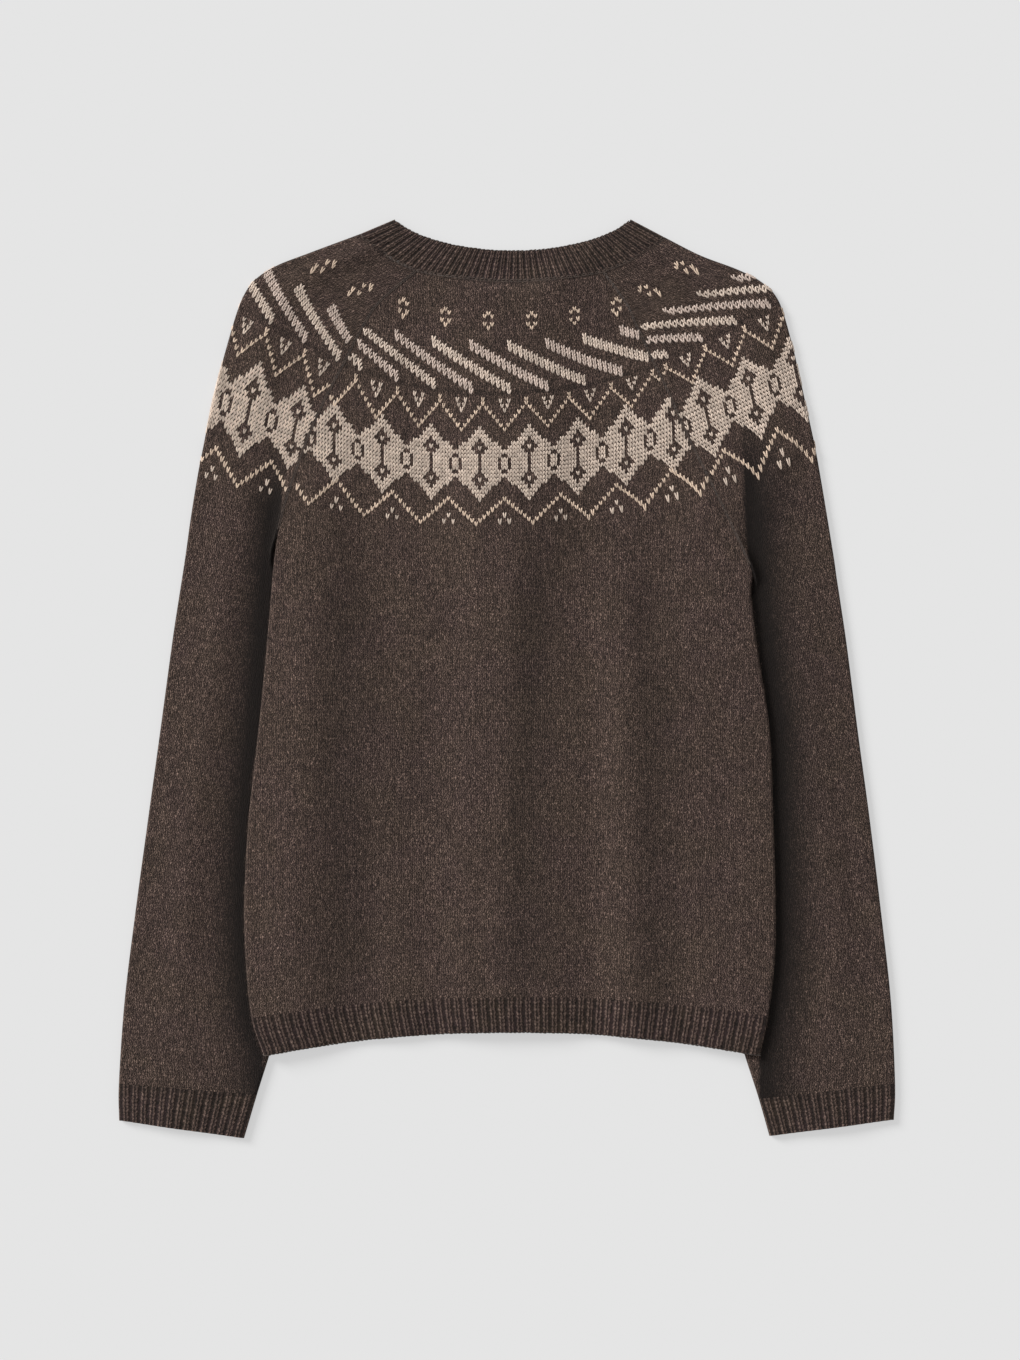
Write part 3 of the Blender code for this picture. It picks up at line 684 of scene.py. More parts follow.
@dataclass
class Graph:
    """A short hand for building a tree of shader nodes."""

    tree: bpy.types.NodeTree

    def node(self, kind: str, **settings: object) -> bpy.types.Node:
        """Add a node and set its own fields."""
        made = self.tree.nodes.new(kind)
        for name, value in settings.items():
            setattr(made, name, value)
        return made

    def feed(self, socket: Socket, value: object) -> None:
        """Link a socket, or set its value."""
        if isinstance(value, bpy.types.NodeSocket):
            self.tree.links.new(value, socket)
        else:
            socket.default_value = value

    def fill(self, node: bpy.types.Node, **values: object) -> None:
        """Link or set several sockets of a node by name."""
        for name, value in values.items():
            self.feed(node.inputs[name], value)

    def math(self, operation: str, *values: object, clamp: bool = False) -> Socket:
        """One Math node over sockets or numbers."""
        made = self.node("ShaderNodeMath", operation=operation, use_clamp=clamp)
        for socket, value in zip(made.inputs, values):
            self.feed(socket, value)
        return made.outputs[0]

    def blend(self, share: object, low: object, high: object, how: str = "MIX") -> Socket:
        """Mix two colours."""
        made = self.node("ShaderNodeMix", data_type="RGBA", blend_type=how)
        self.fill(made, Factor=share, A=low, B=high)
        return made.outputs["Result"]

    def remap(
        self, value: Socket, start: tuple[float, float], stop: tuple[float, float] = (0.0, 1.0)
    ) -> Socket:
        """Stretch a number softly from one range to another, held inside it."""
        made = self.node("ShaderNodeMapRange", interpolation_type="SMOOTHSTEP")
        names = ("Value", "From Min", "From Max", "To Min", "To Max")
        for name, number in zip(names, (value, *start, *stop)):
            self.feed(made.inputs[name], number)
        return made.outputs["Result"]

    def noise(self, vector: Socket, scale: float, detail: float = 2.0) -> Socket:
        """Smooth noise over a vector."""
        made = self.node("ShaderNodeTexNoise")
        self.fill(made, Vector=vector, Scale=scale, Detail=detail)
        return made.outputs["Fac"]

    def combine(self, x: object, y: object, z: object) -> Socket:
        """A vector from three numbers."""
        made = self.node("ShaderNodeCombineXYZ")
        for socket, value in zip(made.inputs, (x, y, z)):
            self.feed(socket, value)
        return made.outputs[0]

    def attribute(self, name: str) -> Socket:
        """A number that the mesh carries at its points."""
        return self.node("ShaderNodeAttribute", attribute_name=name).outputs["Fac"]

    def relief(self, shader: bpy.types.Node, height: Socket, strength: float, depth: float) -> None:
        """Raise a shader's surface by a height.

        Args:
            shader: The shader.
            height: The height, 0 to 1.
            strength: How much of it shows.
            depth: Its full depth, in metres.
        """
        bump = self.node("ShaderNodeBump")
        self.fill(bump, Strength=strength, Distance=depth, Height=height)
        self.feed(shader.inputs["Normal"], bump.outputs[0])


def start_finish(name: str) -> tuple[bpy.types.Material, Graph, bpy.types.Node]:
    """Start a finish: its material, the graph of its nodes and its shader."""
    made = bpy.data.materials.new(name)
    made.use_nodes = True
    return made, Graph(made.node_tree), made.node_tree.nodes["Principled BSDF"]


def rgb(red: float, green: float, blue: float) -> tuple[float, float, float, float]:
    """A colour with full alpha."""
    return (red, green, blue, 1.0)


class Stitch(Enum):
    """Which knitted surface a finish shows."""

    STOCKING = "stocking stitch"
    RIB = "rib stitch"


def start_group(name: str, takes: Sequence[str], gives: Sequence[str]) -> bpy.types.NodeTree:
    """Start a node group with sockets that take and give numbers."""
    group = bpy.data.node_groups.new(name, "ShaderNodeTree")
    for way, names in (("INPUT", takes), ("OUTPUT", gives)):
        for socket in names:
            group.interface.new_socket(name=socket, in_out=way, socket_type="NodeSocketFloat")
    return group


def stitch_group(stitch: Stitch) -> bpy.types.NodeTree:
    """Build the node group of one knitted surface from its stitch counts.

    Args:
        stitch: The surface.

    Returns:
        The group: Wale and Row go in, Height and a random number for each
        half stitch come out.
    """
    known = bpy.data.node_groups.get(stitch.value)
    if known:
        return known
    group = start_group(stitch.value, ("Wale", "Row"), ("Height", "Random"))
    g = Graph(group)
    ports = g.node("NodeGroupInput")
    out = g.node("NodeGroupOutput")
    wale, row = ports.outputs["Wale"], ports.outputs["Row"]
    place = g.math("FRACT", wale)
    middle = g.math("ABSOLUTE", g.math("SUBTRACT", place, 0.5))
    width = 2.0 if stitch is Stitch.STOCKING else 2.6
    leg = g.math("MULTIPLY", middle, width, clamp=True)
    lean = g.math("SUBTRACT", row, g.math("MULTIPLY", leg, 0.55))
    step = g.math("FRACT", lean)
    across = g.math("POWER", g.math("SINE", g.math("MULTIPLY", leg, math.pi)), 0.7)
    length = g.math("SINE", g.math("MULTIPLY", step, math.pi))
    height = g.math("MULTIPLY", across, g.math("MULTIPLY_ADD", length, 0.32, 0.68))
    if stitch is Stitch.RIB:
        purl = g.math("MULTIPLY", g.math("GREATER_THAN", leg, 0.999), 0.5)
        turn = g.math("SINE", g.math("MULTIPLY", g.math("FRACT", row), math.pi))
        height = g.math("ADD", height, g.math("MULTIPLY", purl, turn))
    half = g.math("GREATER_THAN", place, 0.5)
    seed = g.combine(g.math("FLOOR", wale), g.math("FLOOR", lean), half)
    white = g.node("ShaderNodeTexWhiteNoise", noise_dimensions="3D")
    g.feed(white.inputs["Vector"], seed)
    g.fill(out, Height=height, Random=white.outputs["Value"])
    return group


def fibre_group() -> bpy.types.NodeTree:
    """Build the node group of loose wool fibres, over object coordinates.

    Returns:
        The group: it puts out Fibre, a fine streaky mask, Patch, a slow one,
        and Sway and Slip, which push the stitches out of line.
    """
    known = bpy.data.node_groups.get("wool fibres")
    if known:
        return known
    group = start_group("wool fibres", (), ("Fibre", "Patch", "Sway", "Slip"))
    g = Graph(group)
    out = g.node("NodeGroupOutput")
    where = g.node("ShaderNodeTexCoord").outputs["Object"]
    bent = g.node("ShaderNodeTexNoise")
    g.fill(bent, Vector=where, Scale=560.0)
    shift = g.node("ShaderNodeVectorMath", operation="MULTIPLY_ADD")
    g.feed(shift.inputs[0], bent.outputs["Color"])
    g.feed(shift.inputs[1], (0.0022, 0.0022, 0.0022))
    g.feed(shift.inputs[2], where)
    parts = g.node("ShaderNodeSeparateColor")
    g.feed(parts.inputs[0], bent.outputs["Color"])
    g.feed(out.inputs["Sway"], g.math("SUBTRACT", parts.outputs[0], 0.5))
    g.feed(out.inputs["Slip"], g.math("SUBTRACT", parts.outputs[1], 0.5))
    fine = g.noise(shift.outputs[0], 1500.0, 3.0)
    g.feed(out.inputs["Fibre"], g.remap(fine, (0.36, 0.66)))
    g.feed(out.inputs["Patch"], g.remap(g.noise(where, 26.0, 3.0), (0.35, 0.65)))
    return group


@dataclass(frozen=True)
class HeatherWool:
    """Brown heather wool knitted in one stitch: colours with painted shade and painted highlights,
    relief and sheen.
    """

    name: str
    stitch: Stitch
    # deep: painted shade in the low parts of each stitch, blended in by its height
    deep: tuple[float, float, float] = (0.009, 0.006, 0.0050)
    ground: tuple[float, float, float] = (0.042, 0.0264, 0.0210)
    # fleck_and_highlight: tan heather flecks, laid only on the crowns of the stitches as a painted
    # highlight
    fleck_and_highlight: tuple[float, float, float] = (0.380, 0.260, 0.208)
    olive: tuple[float, float, float] = (0.060, 0.041, 0.026)
    plum: tuple[float, float, float] = (0.056, 0.031, 0.033)
    shaded: tuple[float, float, float] = (0.006, 0.004, 0.0035)
    sheen_tint: tuple[float, float, float] = (0.78, 0.66, 0.56)
    furrow_shade_heights: tuple[float, float] = (0.30, 0.90)
    crown: tuple[float, float] = (0.62, 0.98)
    flecked: tuple[float, float] = (0.32, 0.86)
    warmth: float = 0.38
    relief: float = 0.0010
    sheen: float = 0.05
    uneven: float = 1.3
    slip: float = 2.2

    def material(self) -> bpy.types.Material:
        """Build the material once."""
        made, g, shader = start_finish(self.name)
        uv = g.node("ShaderNodeUVMap", uv_map="stitches")
        parts = g.node("ShaderNodeSeparateXYZ")
        g.feed(parts.inputs[0], uv.outputs[0])
        fibres = g.node("ShaderNodeGroup", node_tree=fibre_group())
        fibre, patch = fibres.outputs["Fibre"], fibres.outputs["Patch"]
        knit = g.node("ShaderNodeGroup", node_tree=stitch_group(self.stitch))
        wale = g.math("MULTIPLY_ADD", fibres.outputs["Sway"], self.uneven, parts.outputs[0])
        row = g.math(
            "MULTIPLY_ADD", fibres.outputs["Slip"], self.uneven * self.slip, parts.outputs[1]
        )
        g.fill(knit, Wale=wale, Row=row)
        height, chance = knit.outputs["Height"], knit.outputs["Random"]
        # Painted shade: darker towards the low parts of each stitch
        colour = g.blend(g.remap(height, self.furrow_shade_heights), rgb(*self.deep), rgb(*self.ground))
        warm = g.blend(patch, rgb(*self.plum), rgb(*self.olive))
        colour = g.blend(g.math("MULTIPLY", chance, self.warmth), colour, warm)
        # Painted highlight: tan flecks on random legs, kept to the crown of each stitch, where the
        # light catches
        bright = g.math(
            "MULTIPLY", g.remap(chance, (0.0, 1.0), self.flecked), g.remap(height, self.crown)
        )
        bright = g.math("MULTIPLY", bright, g.math("MULTIPLY_ADD", fibre, 0.7, 0.3))
        colour = g.blend(bright, colour, rgb(*self.fleck_and_highlight))
        # Painted shade: the mesh's painted_shade darkens the colour towards the shaded colour
        shade = g.math("MULTIPLY", g.attribute("painted_shade"), 0.95, clamp=True)
        colour = g.blend(shade, colour, rgb(*self.shaded))
        g.feed(shader.inputs["Base Color"], colour)
        g.relief(shader, g.math("MULTIPLY_ADD", fibre, 0.22, height), 0.85, self.relief)
        shader.inputs["Roughness"].default_value = 0.95
        shader.inputs["Specular IOR Level"].default_value = 0.22
        shader.inputs["Sheen Weight"].default_value = self.sheen
        shader.inputs["Sheen Roughness"].default_value = 0.55
        shader.inputs["Sheen Tint"].default_value = rgb(*self.sheen_tint)
        return made


@dataclass(frozen=True)
class PatternYarn:
    """The light wool of the yoke's stitches, in its three shades."""

    name: str = "oatmeal yarn"
    oatmeal: tuple[float, float, float] = (0.740, 0.600, 0.495)
    cream: tuple[float, float, float] = (0.770, 0.590, 0.450)
    rose: tuple[float, float, float] = (0.690, 0.550, 0.470)
    fuzz: float = 0.0003

    def material(self) -> bpy.types.Material:
        """Build the material once. The mesh carries which yarn and how light each stitch is."""
        made, g, shader = start_finish(self.name)
        fibre = g.node("ShaderNodeGroup", node_tree=fibre_group()).outputs["Fibre"]
        kind = g.attribute("yarn")
        colour = g.blend(g.math("MINIMUM", kind, 1.0), rgb(*self.oatmeal), rgb(*self.cream))
        colour = g.blend(g.math("SUBTRACT", kind, 1.0, clamp=True), colour, rgb(*self.rose))
        light = g.math("MULTIPLY_ADD", g.attribute("shade"), 0.34, 0.70)
        light = g.math("MULTIPLY", light, g.math("MULTIPLY_ADD", fibre, 0.26, 0.80))
        g.feed(shader.inputs["Base Color"], g.blend(1.0, colour, light, "MULTIPLY"))
        g.relief(shader, fibre, 0.5, self.fuzz)
        shader.inputs["Roughness"].default_value = 0.9
        shader.inputs["Specular IOR Level"].default_value = 0.25
        shader.inputs["Sheen Weight"].default_value = 0.2
        shader.inputs["Sheen Roughness"].default_value = 0.5
        return made


@dataclass(frozen=True)
class BrownYarn:
    """Plain brown yarn of chains, seams and sewn edges."""

    name: str = "brown yarn"
    dark: tuple[float, float, float] = (0.030, 0.021, 0.018)
    light: tuple[float, float, float] = (0.105, 0.074, 0.058)
    fuzz: float = 0.0003

    def material(self) -> bpy.types.Material:
        """Build the material once."""
        made, g, shader = start_finish(self.name)
        fibre = g.node("ShaderNodeGroup", node_tree=fibre_group()).outputs["Fibre"]
        share = g.math("MULTIPLY_ADD", fibre, 0.6, g.math("MULTIPLY", g.attribute("shade"), 0.4))
        g.feed(shader.inputs["Base Color"], g.blend(share, rgb(*self.dark), rgb(*self.light)))
        g.relief(shader, fibre, 0.5, self.fuzz)
        shader.inputs["Roughness"].default_value = 0.93
        shader.inputs["Specular IOR Level"].default_value = 0.22
        shader.inputs["Sheen Weight"].default_value = 0.25
        return made


@dataclass(frozen=True)
class DarkHorn:
    """Polished dark horn with drifting lighter streaks."""

    name: str = "dark horn"
    deep: tuple[float, float, float] = (0.016, 0.009, 0.006)
    amber: tuple[float, float, float] = (0.120, 0.062, 0.030)

    def material(self) -> bpy.types.Material:
        """Build the material once."""
        made, g, shader = start_finish(self.name)
        where = g.node("ShaderNodeTexCoord").outputs["Object"]
        streak = g.node("ShaderNodeTexWave", wave_type="BANDS", bands_direction="DIAGONAL")
        g.fill(streak, Vector=where, Scale=70.0, Distortion=9.0, Detail=3.0)
        share = g.remap(streak.outputs["Fac"], (0.45, 1.0), (0.0, 0.75))
        g.feed(shader.inputs["Base Color"], g.blend(share, rgb(*self.deep), rgb(*self.amber)))
        wear = g.noise(where, 900.0, 2.0)
        g.feed(shader.inputs["Roughness"], g.remap(wear, (0.3, 0.7), (0.22, 0.38)))
        shader.inputs["Coat Weight"].default_value = 0.3
        shader.inputs["Coat Roughness"].default_value = 0.15
        return made


@dataclass(frozen=True)
class PaleFloor:
    """The plain pale floor."""

    name: str = "pale floor"
    colour: tuple[float, float, float] = (0.25, 0.25, 0.25)
    glow: float = 0.515

    def material(self) -> bpy.types.Material:
        """Build the material once."""
        made, _, shader = start_finish(self.name)
        shader.inputs["Base Color"].default_value = rgb(*self.colour)
        shader.inputs["Roughness"].default_value = 1.0
        shader.inputs["Specular IOR Level"].default_value = 0.0
        shader.inputs["Emission Color"].default_value = rgb(1.0, 1.0, 1.0)
        shader.inputs["Emission Strength"].default_value = self.glow
        return made


# Surfaces that the pieces and their stitches lie on


@dataclass
class RowLine:
    """The outer and inner points of one row of a piece, in order along it."""

    outer: np.ndarray
    inner: np.ndarray


@dataclass
class Surface:
    """A piece's cloth, given row by row by one function.

    Its zero is the distance along a row from which stitches are counted, and
    its painted_shade is the shade painted into the colour at each point of a row.
    """

    line: Callable[[float], RowLine]
    zero: Callable[[RowLine], float] = lambda line: 0.0
    painted_shade: Optional[Callable[[np.ndarray, float], np.ndarray]] = None

    def shell(self, numbers: Sequence[float]) -> Shell:
        """Gather rows into a shell with its stitch counts.

        Args:
            numbers: The row numbers.

        Returns:
            The shell.
        """
        lines = [self.line(number) for number in numbers]
        outer = np.array([line.outer for line in lines])
        inner = np.array([line.inner for line in lines])
        wales = [(lengths_along(line.outer) - self.zero(line)) / WALE for line in lines]
        steps = np.linalg.norm(np.diff(outer, axis=0), axis=2)
        middle = np.median(steps, axis=1)
        rows = -np.concatenate([[0.0], np.cumsum(middle)]) / COURSE
        grid = np.repeat(rows[:, None], outer.shape[1], axis=1)
        shade = None
        if self.painted_shade:
            shade = np.array([self.painted_shade(line.outer, n) for n, line in zip(numbers, lines)])
        return Shell(outer, inner, np.array(wales), grid, shade)


class Stitches(NamedTuple):
    """Where a set of raised stitches sits: places, directions, sizes and shades."""

    place: np.ndarray
    tangent: np.ndarray
    upward: np.ndarray
    normal: np.ndarray
    width: np.ndarray
    height: np.ndarray
    yarn: np.ndarray


@dataclass
class StitchMaker:
    """Makes raised V stitches: two plump legs that lean apart upwards."""

    tip: float = 0.25
    crown: float = 0.85
    proud: float = 0.85
    sunk: float = 0.25
    under_proud: float = 0.5
    under_sunk: float = 0.36
    jitter: float = 0.08
    random: np.random.Generator = field(default_factory=lambda: np.random.default_rng(SEED))

    def leg(self) -> tuple[np.ndarray, np.ndarray]:
        """One leg in a stitch one wide and one high.

        Returns:
            Its points (across, up, out) and its three-cornered faces.
        """
        spine = ((0.05, -0.56), (0.13, -0.30), (0.24, 0.06), (0.35, 0.40), (0.42, 0.60))
        widths = (0.0, 0.19, 0.255, 0.22, 0.0)
        points = [(*spine[0], self.tip)]
        for (x, y), half in zip(spine[1:-1], widths[1:-1]):
            points += [(x - half, y + 0.05, 0.0), (x - half * 0.4, y + 0.02, self.crown)]
            points += [(x + half * 0.4, y - 0.02, self.crown), (x + half, y - 0.05, 0.0)]
        last = len(points)
        points.append((*spine[-1], self.tip))
        faces = []
        for k in range(3):
            faces.append((0, k + 2, k + 1))
            faces.append((last, last - 4 + k, last - 3 + k))
            for ring in (0, 4):
                a = 1 + ring + k
                faces += [(a, a + 1, a + 5), (a, a + 5, a + 4)]
        faces += [(0, 1, 4), (1, 5, 4), (5, 8, 4), (5, 9, 8), (9, 12, 8), (9, 13, 12)]
        return np.array(points), np.array(faces)

    def piece(self, name: str, stitches: Stitches, material: bpy.types.Material) -> bpy.types.Object:
        """Lay a stitch at every place and join them into one piece.

        Args:
            name: Name of the piece.
            stitches: The places.
            material: The yarn.

        Returns:
            The piece.
        """
        points, faces = self.leg()
        mirrored = points * (-1, 1, 1)
        both = np.concatenate([points, mirrored])
        corners = np.concatenate([faces, faces[:, ::-1] + len(points)])
        count = len(stitches.place)
        jitter = 1 + self.jitter * self.random.standard_normal((count, 1, 3)).clip(-2, 2)
        under = stitches.normal[:, 2] < -0.2
        proud = np.where(under, self.under_proud, self.proud)
        size = np.stack([stitches.width, stitches.height, proud], axis=1)
        local = both[None] * size[:, None] * jitter
        local[..., 2] -= np.where(under, self.under_sunk, self.sunk)[:, None]
        turned = np.cross(stitches.tangent, stitches.upward)
        hand = np.sign(dots(turned, stitches.normal))
        frames = np.stack([stitches.tangent * hand, stitches.upward, stitches.normal], axis=1)
        placed = np.einsum("sij,sjk->sik", local, frames) + stitches.place[:, None]
        placed = (placed - PLAN_CENTRE) * METRE
        offsets = (np.arange(count) * len(both))[:, None, None]
        mesh = bpy.data.meshes.new(name)
        triangles = (corners[None] + offsets).reshape(-1, 3)
        mesh.from_pydata(placed.reshape(-1, 3).tolist(), [], triangles.tolist())
        shade = np.repeat(self.random.uniform(0, 1, count), len(both))
        for label, values in (("shade", shade), ("yarn", np.repeat(stitches.yarn, len(both)))):
            made = mesh.attributes.new(label, "FLOAT", "POINT")
            made.data.foreach_set("value", values.astype(np.float32))
        return dressed(name, mesh, material)


@dataclass
class SeamWork:
    """The sewn seams and the cast-off edges, as chains of brown stitches."""

    maker: StitchMaker
    yarn: bpy.types.Material
    knit: bpy.types.Material
    pitch: float = 3.4
    overlap: float = 1.15
    raglan_width: float = 2.3
    front_neck_width: float = 2.6
    neck_width: float = 2.7
    edge_width: float = 2.2
    neck_edge_drop: float = 0.8
    hem_edge_drop: float = 0.7
    seated: float = 0.1
    underarm_reach: float = 3.5
    underarm_tuck: float = 6.0
    underarm_rows: tuple[float, float] = (-0.1, 1.5)
    underarm_dip: float = 0.5
    underarm_thick: float = 0.6
    underarm_shade: float = 0.8

    def chain(
        self, name: str, path: Sequence[Sequence[float]], width: float, facing: float = 1.0
    ) -> None:
        """Lay one chain of stitches along a path.

        Args:
            name: Name of the piece.
            path: Its points, in millimetres.
            width: Width of a stitch.
            facing: 1 where the chain shows from above and -1 from below.
        """
        line = np.asarray(path, float)
        reached = lengths_along(line)
        count = max(int(reached[-1] / self.pitch), 2)
        at = (np.arange(count) + 0.5) * reached[-1] / count
        place = read_line(line, reached, at)
        forward = units(read_line(line, reached, at + 1.0) - read_line(line, reached, at - 1.0))
        normal = np.tile((0.0, 0.0, facing), (count, 1))
        normal = units(normal - forward * dots(normal, forward))
        across = np.cross(forward, normal)
        same = np.ones(count)
        widths, heights = same * width, same * self.pitch * self.overlap
        places = Stitches(place, across, forward, normal, widths, heights, same * 0)
        declare(self.maker.piece(name, places, self.yarn), "brown_rib")

    def raglan(self, side: Side, upper: bool) -> list[tuple[float, float, float]]:
        """Path of a raglan seam, neck to armpit, over or under the garment."""
        path = []
        for row in np.linspace(0.03, ARMPIT, 70):
            x, y = along(side.edge, row) if upper else FORM.front_raglan(side, row)
            over, under = float(FORM.upper_z(x, y)), float(FORM.lower_z(x, y))
            path.append((x, y, over - self.seated if upper else under + self.seated))
        return path

    def underarm(self, side: Side) -> None:
        """Make the strip of cloth inside the armpit, where sleeve and body part, under painted shade.
        """
        high = float(FORM.lower_z(*side.edge[ARMPIT])) - self.seated
        share = np.linspace(0, 1, 8)
        across = share * (self.underarm_tuck + self.underarm_reach) - self.underarm_tuck
        start, stop = self.underarm_rows
        outer = []
        for t in np.linspace(0, 1, 16):
            x, y = along(side.edge, ARMPIT + start + (stop - start) * t)
            fall = self.underarm_dip + (high - self.underarm_dip - FORM.round) * float(ease(t))
            steps = zip(across * side.sign, ease(share))
            outer.append([(x + step, y, high - fall * part) for step, part in steps])
        top = np.array(outer)
        wales = np.repeat((across * side.sign / WALE)[None], len(top), axis=0)
        rows = np.repeat(np.linspace(0, 18, len(top))[:, None], len(across), axis=1)
        # Painted shade over the whole strip
        shade = np.full(wales.shape, self.underarm_shade)
        strip = Shell(top, top - (0, 0, self.underarm_thick), wales, rows, shade)
        declare(strip.piece(f"{side.name}_underarm", self.knit), "brown_wool")

    def build(self, neck: "NeckRib", back: "BackPanel") -> None:
        """Sew the raglans, the underarms and the neck, and finish the free edges."""
        for side in FORM.sides:
            over, under = self.raglan(side, True), self.raglan(side, False)
            self.chain(f"{side.name}_raglan_seam", over, self.raglan_width)
            self.chain(f"{side.name}_front_raglan_seam", under, self.raglan_width, -1.0)
            self.underarm(side)
            seam = [(x, y, float(FORM.lower_z(x, y)) + self.seated) for x, y in neck.lower_seam(side)]
            self.chain(f"{side.name}_front_neck_seam", seam, self.front_neck_width, -1.0)
        seam = [(x, y, float(FORM.upper_z(x, y))) for x, y in neck.upper_seam()]
        self.chain("neck_seam", seam, self.neck_width)
        drop = self.neck_edge_drop
        edge = [(x, y, float(FORM.upper_z(x, y)) - drop) for x, y in neck.upper_edge()]
        self.chain("neck_cast_off", edge, self.edge_width)
        hem = back.line(HEM).outer - (0, 0, self.hem_edge_drop)
        self.chain("hem_cast_off", hem, self.edge_width)


@dataclass(frozen=True)
class Pattern:
    """Flat sizes of the pieces of cloth, and what each one lies on."""

    back: Cut = Cut(0.434, 0.615, 0.211)
    front: Cut = Cut(0.202, 0.590, 0.095)
    sleeve: Cut = Cut(0.285, 0.748, 0.154)
    back_hem: Cut = Cut(0.421, 0.028, 0.0117)
    front_hem: Cut = Cut(0.195, 0.028, 0.0053)
    cuff: Cut = Cut(0.226, 0.031, 0.0067)
    neck: Cut = Cut(0.520, 0.028, 0.0128)
    band: Cut = Cut(0.030, 0.572, 0.0171)

    def lay_out(self) -> None:
        """Pass every piece of cloth, with the stitches worked on it, to its cut."""
        fronts = ("left_front_knit", "right_front_knit")
        hems = ("left_front_hem_knit", "right_front_hem_knit")
        seams = ("neck_seam", "neck_cast_off", "left_front_neck_seam", "right_front_neck_seam")
        self.put(self.back, "back_knit", (*fronts, "button_band_knit"), "back_pattern")
        self.put(self.back_hem, "back_hem_knit", hems, "hem_cast_off")
        self.put(self.neck, "neck_knit", ("floor",), *seams)
        self.put(self.band, "buttonhole_band_knit", ("floor",))
        self.put(self.band, "button_band_knit", ("buttonhole_band_knit",))
        for name in ("left", "right"):
            under = (f"{name}_sleeve_knit", "floor")
            self.put(self.front, f"{name}_front_knit", under, f"{name}_front_pattern")
            self.put(self.front_hem, f"{name}_front_hem_knit", under)
            parts = ("sleeve_pattern", "raglan_seam", "front_raglan_seam", "underarm")
            worked = [f"{name}_{part}" for part in parts]
            self.put(self.sleeve, f"{name}_sleeve_knit", ("floor",), *worked)
            self.put(self.cuff, f"{name}_cuff_knit", ("floor",))

    def put(self, cut: Cut, name: str, rests_on: Sequence[str], *others: str) -> None:
        """Find one piece by its name and pass it to its cut."""
        found = bpy.data.objects
        cut.lay(found[name], rests_on, *(found[other] for other in others))


# The yoke's chart


class Mark(NamedTuple):
    """One light stitch of a motif, in pixels from its middle line."""

    across: float
    down: float
    yarn: Yarn
    width: float = 3.62
    height: float = 4.1


@dataclass(frozen=True)
class Band:
    """A motif repeated round one band of the yoke."""

    name: str
    repeat: float
    phase: float
    marks: tuple[Mark, ...]


@dataclass
class ChartRow:
    """A row of the chart as it lies on a piece, with the lines just above and below it."""

    line: RowLine
    above: np.ndarray
    below: np.ndarray
    zero: float
    usual: float
    margin: float = 1.6
    reach: float = 2.5

    @cached_property
    def reached(self) -> np.ndarray:
        """Distance of each of the row's points along it."""
        return lengths_along(self.line.outer)

    def repeats(self, start: float, repeat: float) -> np.ndarray:
        """Distances of a mark's repeats along the row, clear of its ends."""
        last = self.reached[-1] - self.margin
        lowest = math.ceil((self.margin - start) / repeat)
        return start + repeat * np.arange(lowest, math.floor((last - start) / repeat) + 1)

    def stitches(self, mark: Mark, at: np.ndarray) -> Stitches:
        """Lay a mark's stitches on the row.

        Args:
            mark: The mark.
            at: Distances along the row.

        Returns:
            The places of the stitches.
        """
        place = read_line(self.line.outer, self.reached, at)
        ahead = read_line(self.line.outer, self.reached, at + self.reach)
        behind = read_line(self.line.outer, self.reached, at - self.reach)
        tangent = units(ahead - behind)
        lower = read_line(self.below, self.reached, at)
        upward = read_line(self.above, self.reached, at) - lower
        taller = np.clip(np.linalg.norm(upward, axis=1) / self.usual, 0.8, 1.7)
        normal = np.cross(tangent, upward)
        outward = place - read_line(self.line.inner, self.reached, at)
        normal = units(normal * np.sign(dots(normal, outward)))
        raised = np.cross(normal, tangent)
        raised *= np.sign(dots(raised, upward))
        same = np.ones(len(at))
        widths, heights = same * mark.width * PIXEL, mark.height * PIXEL * taller
        return Stitches(place, tangent, raised, normal, widths, heights, same * mark.yarn.value)


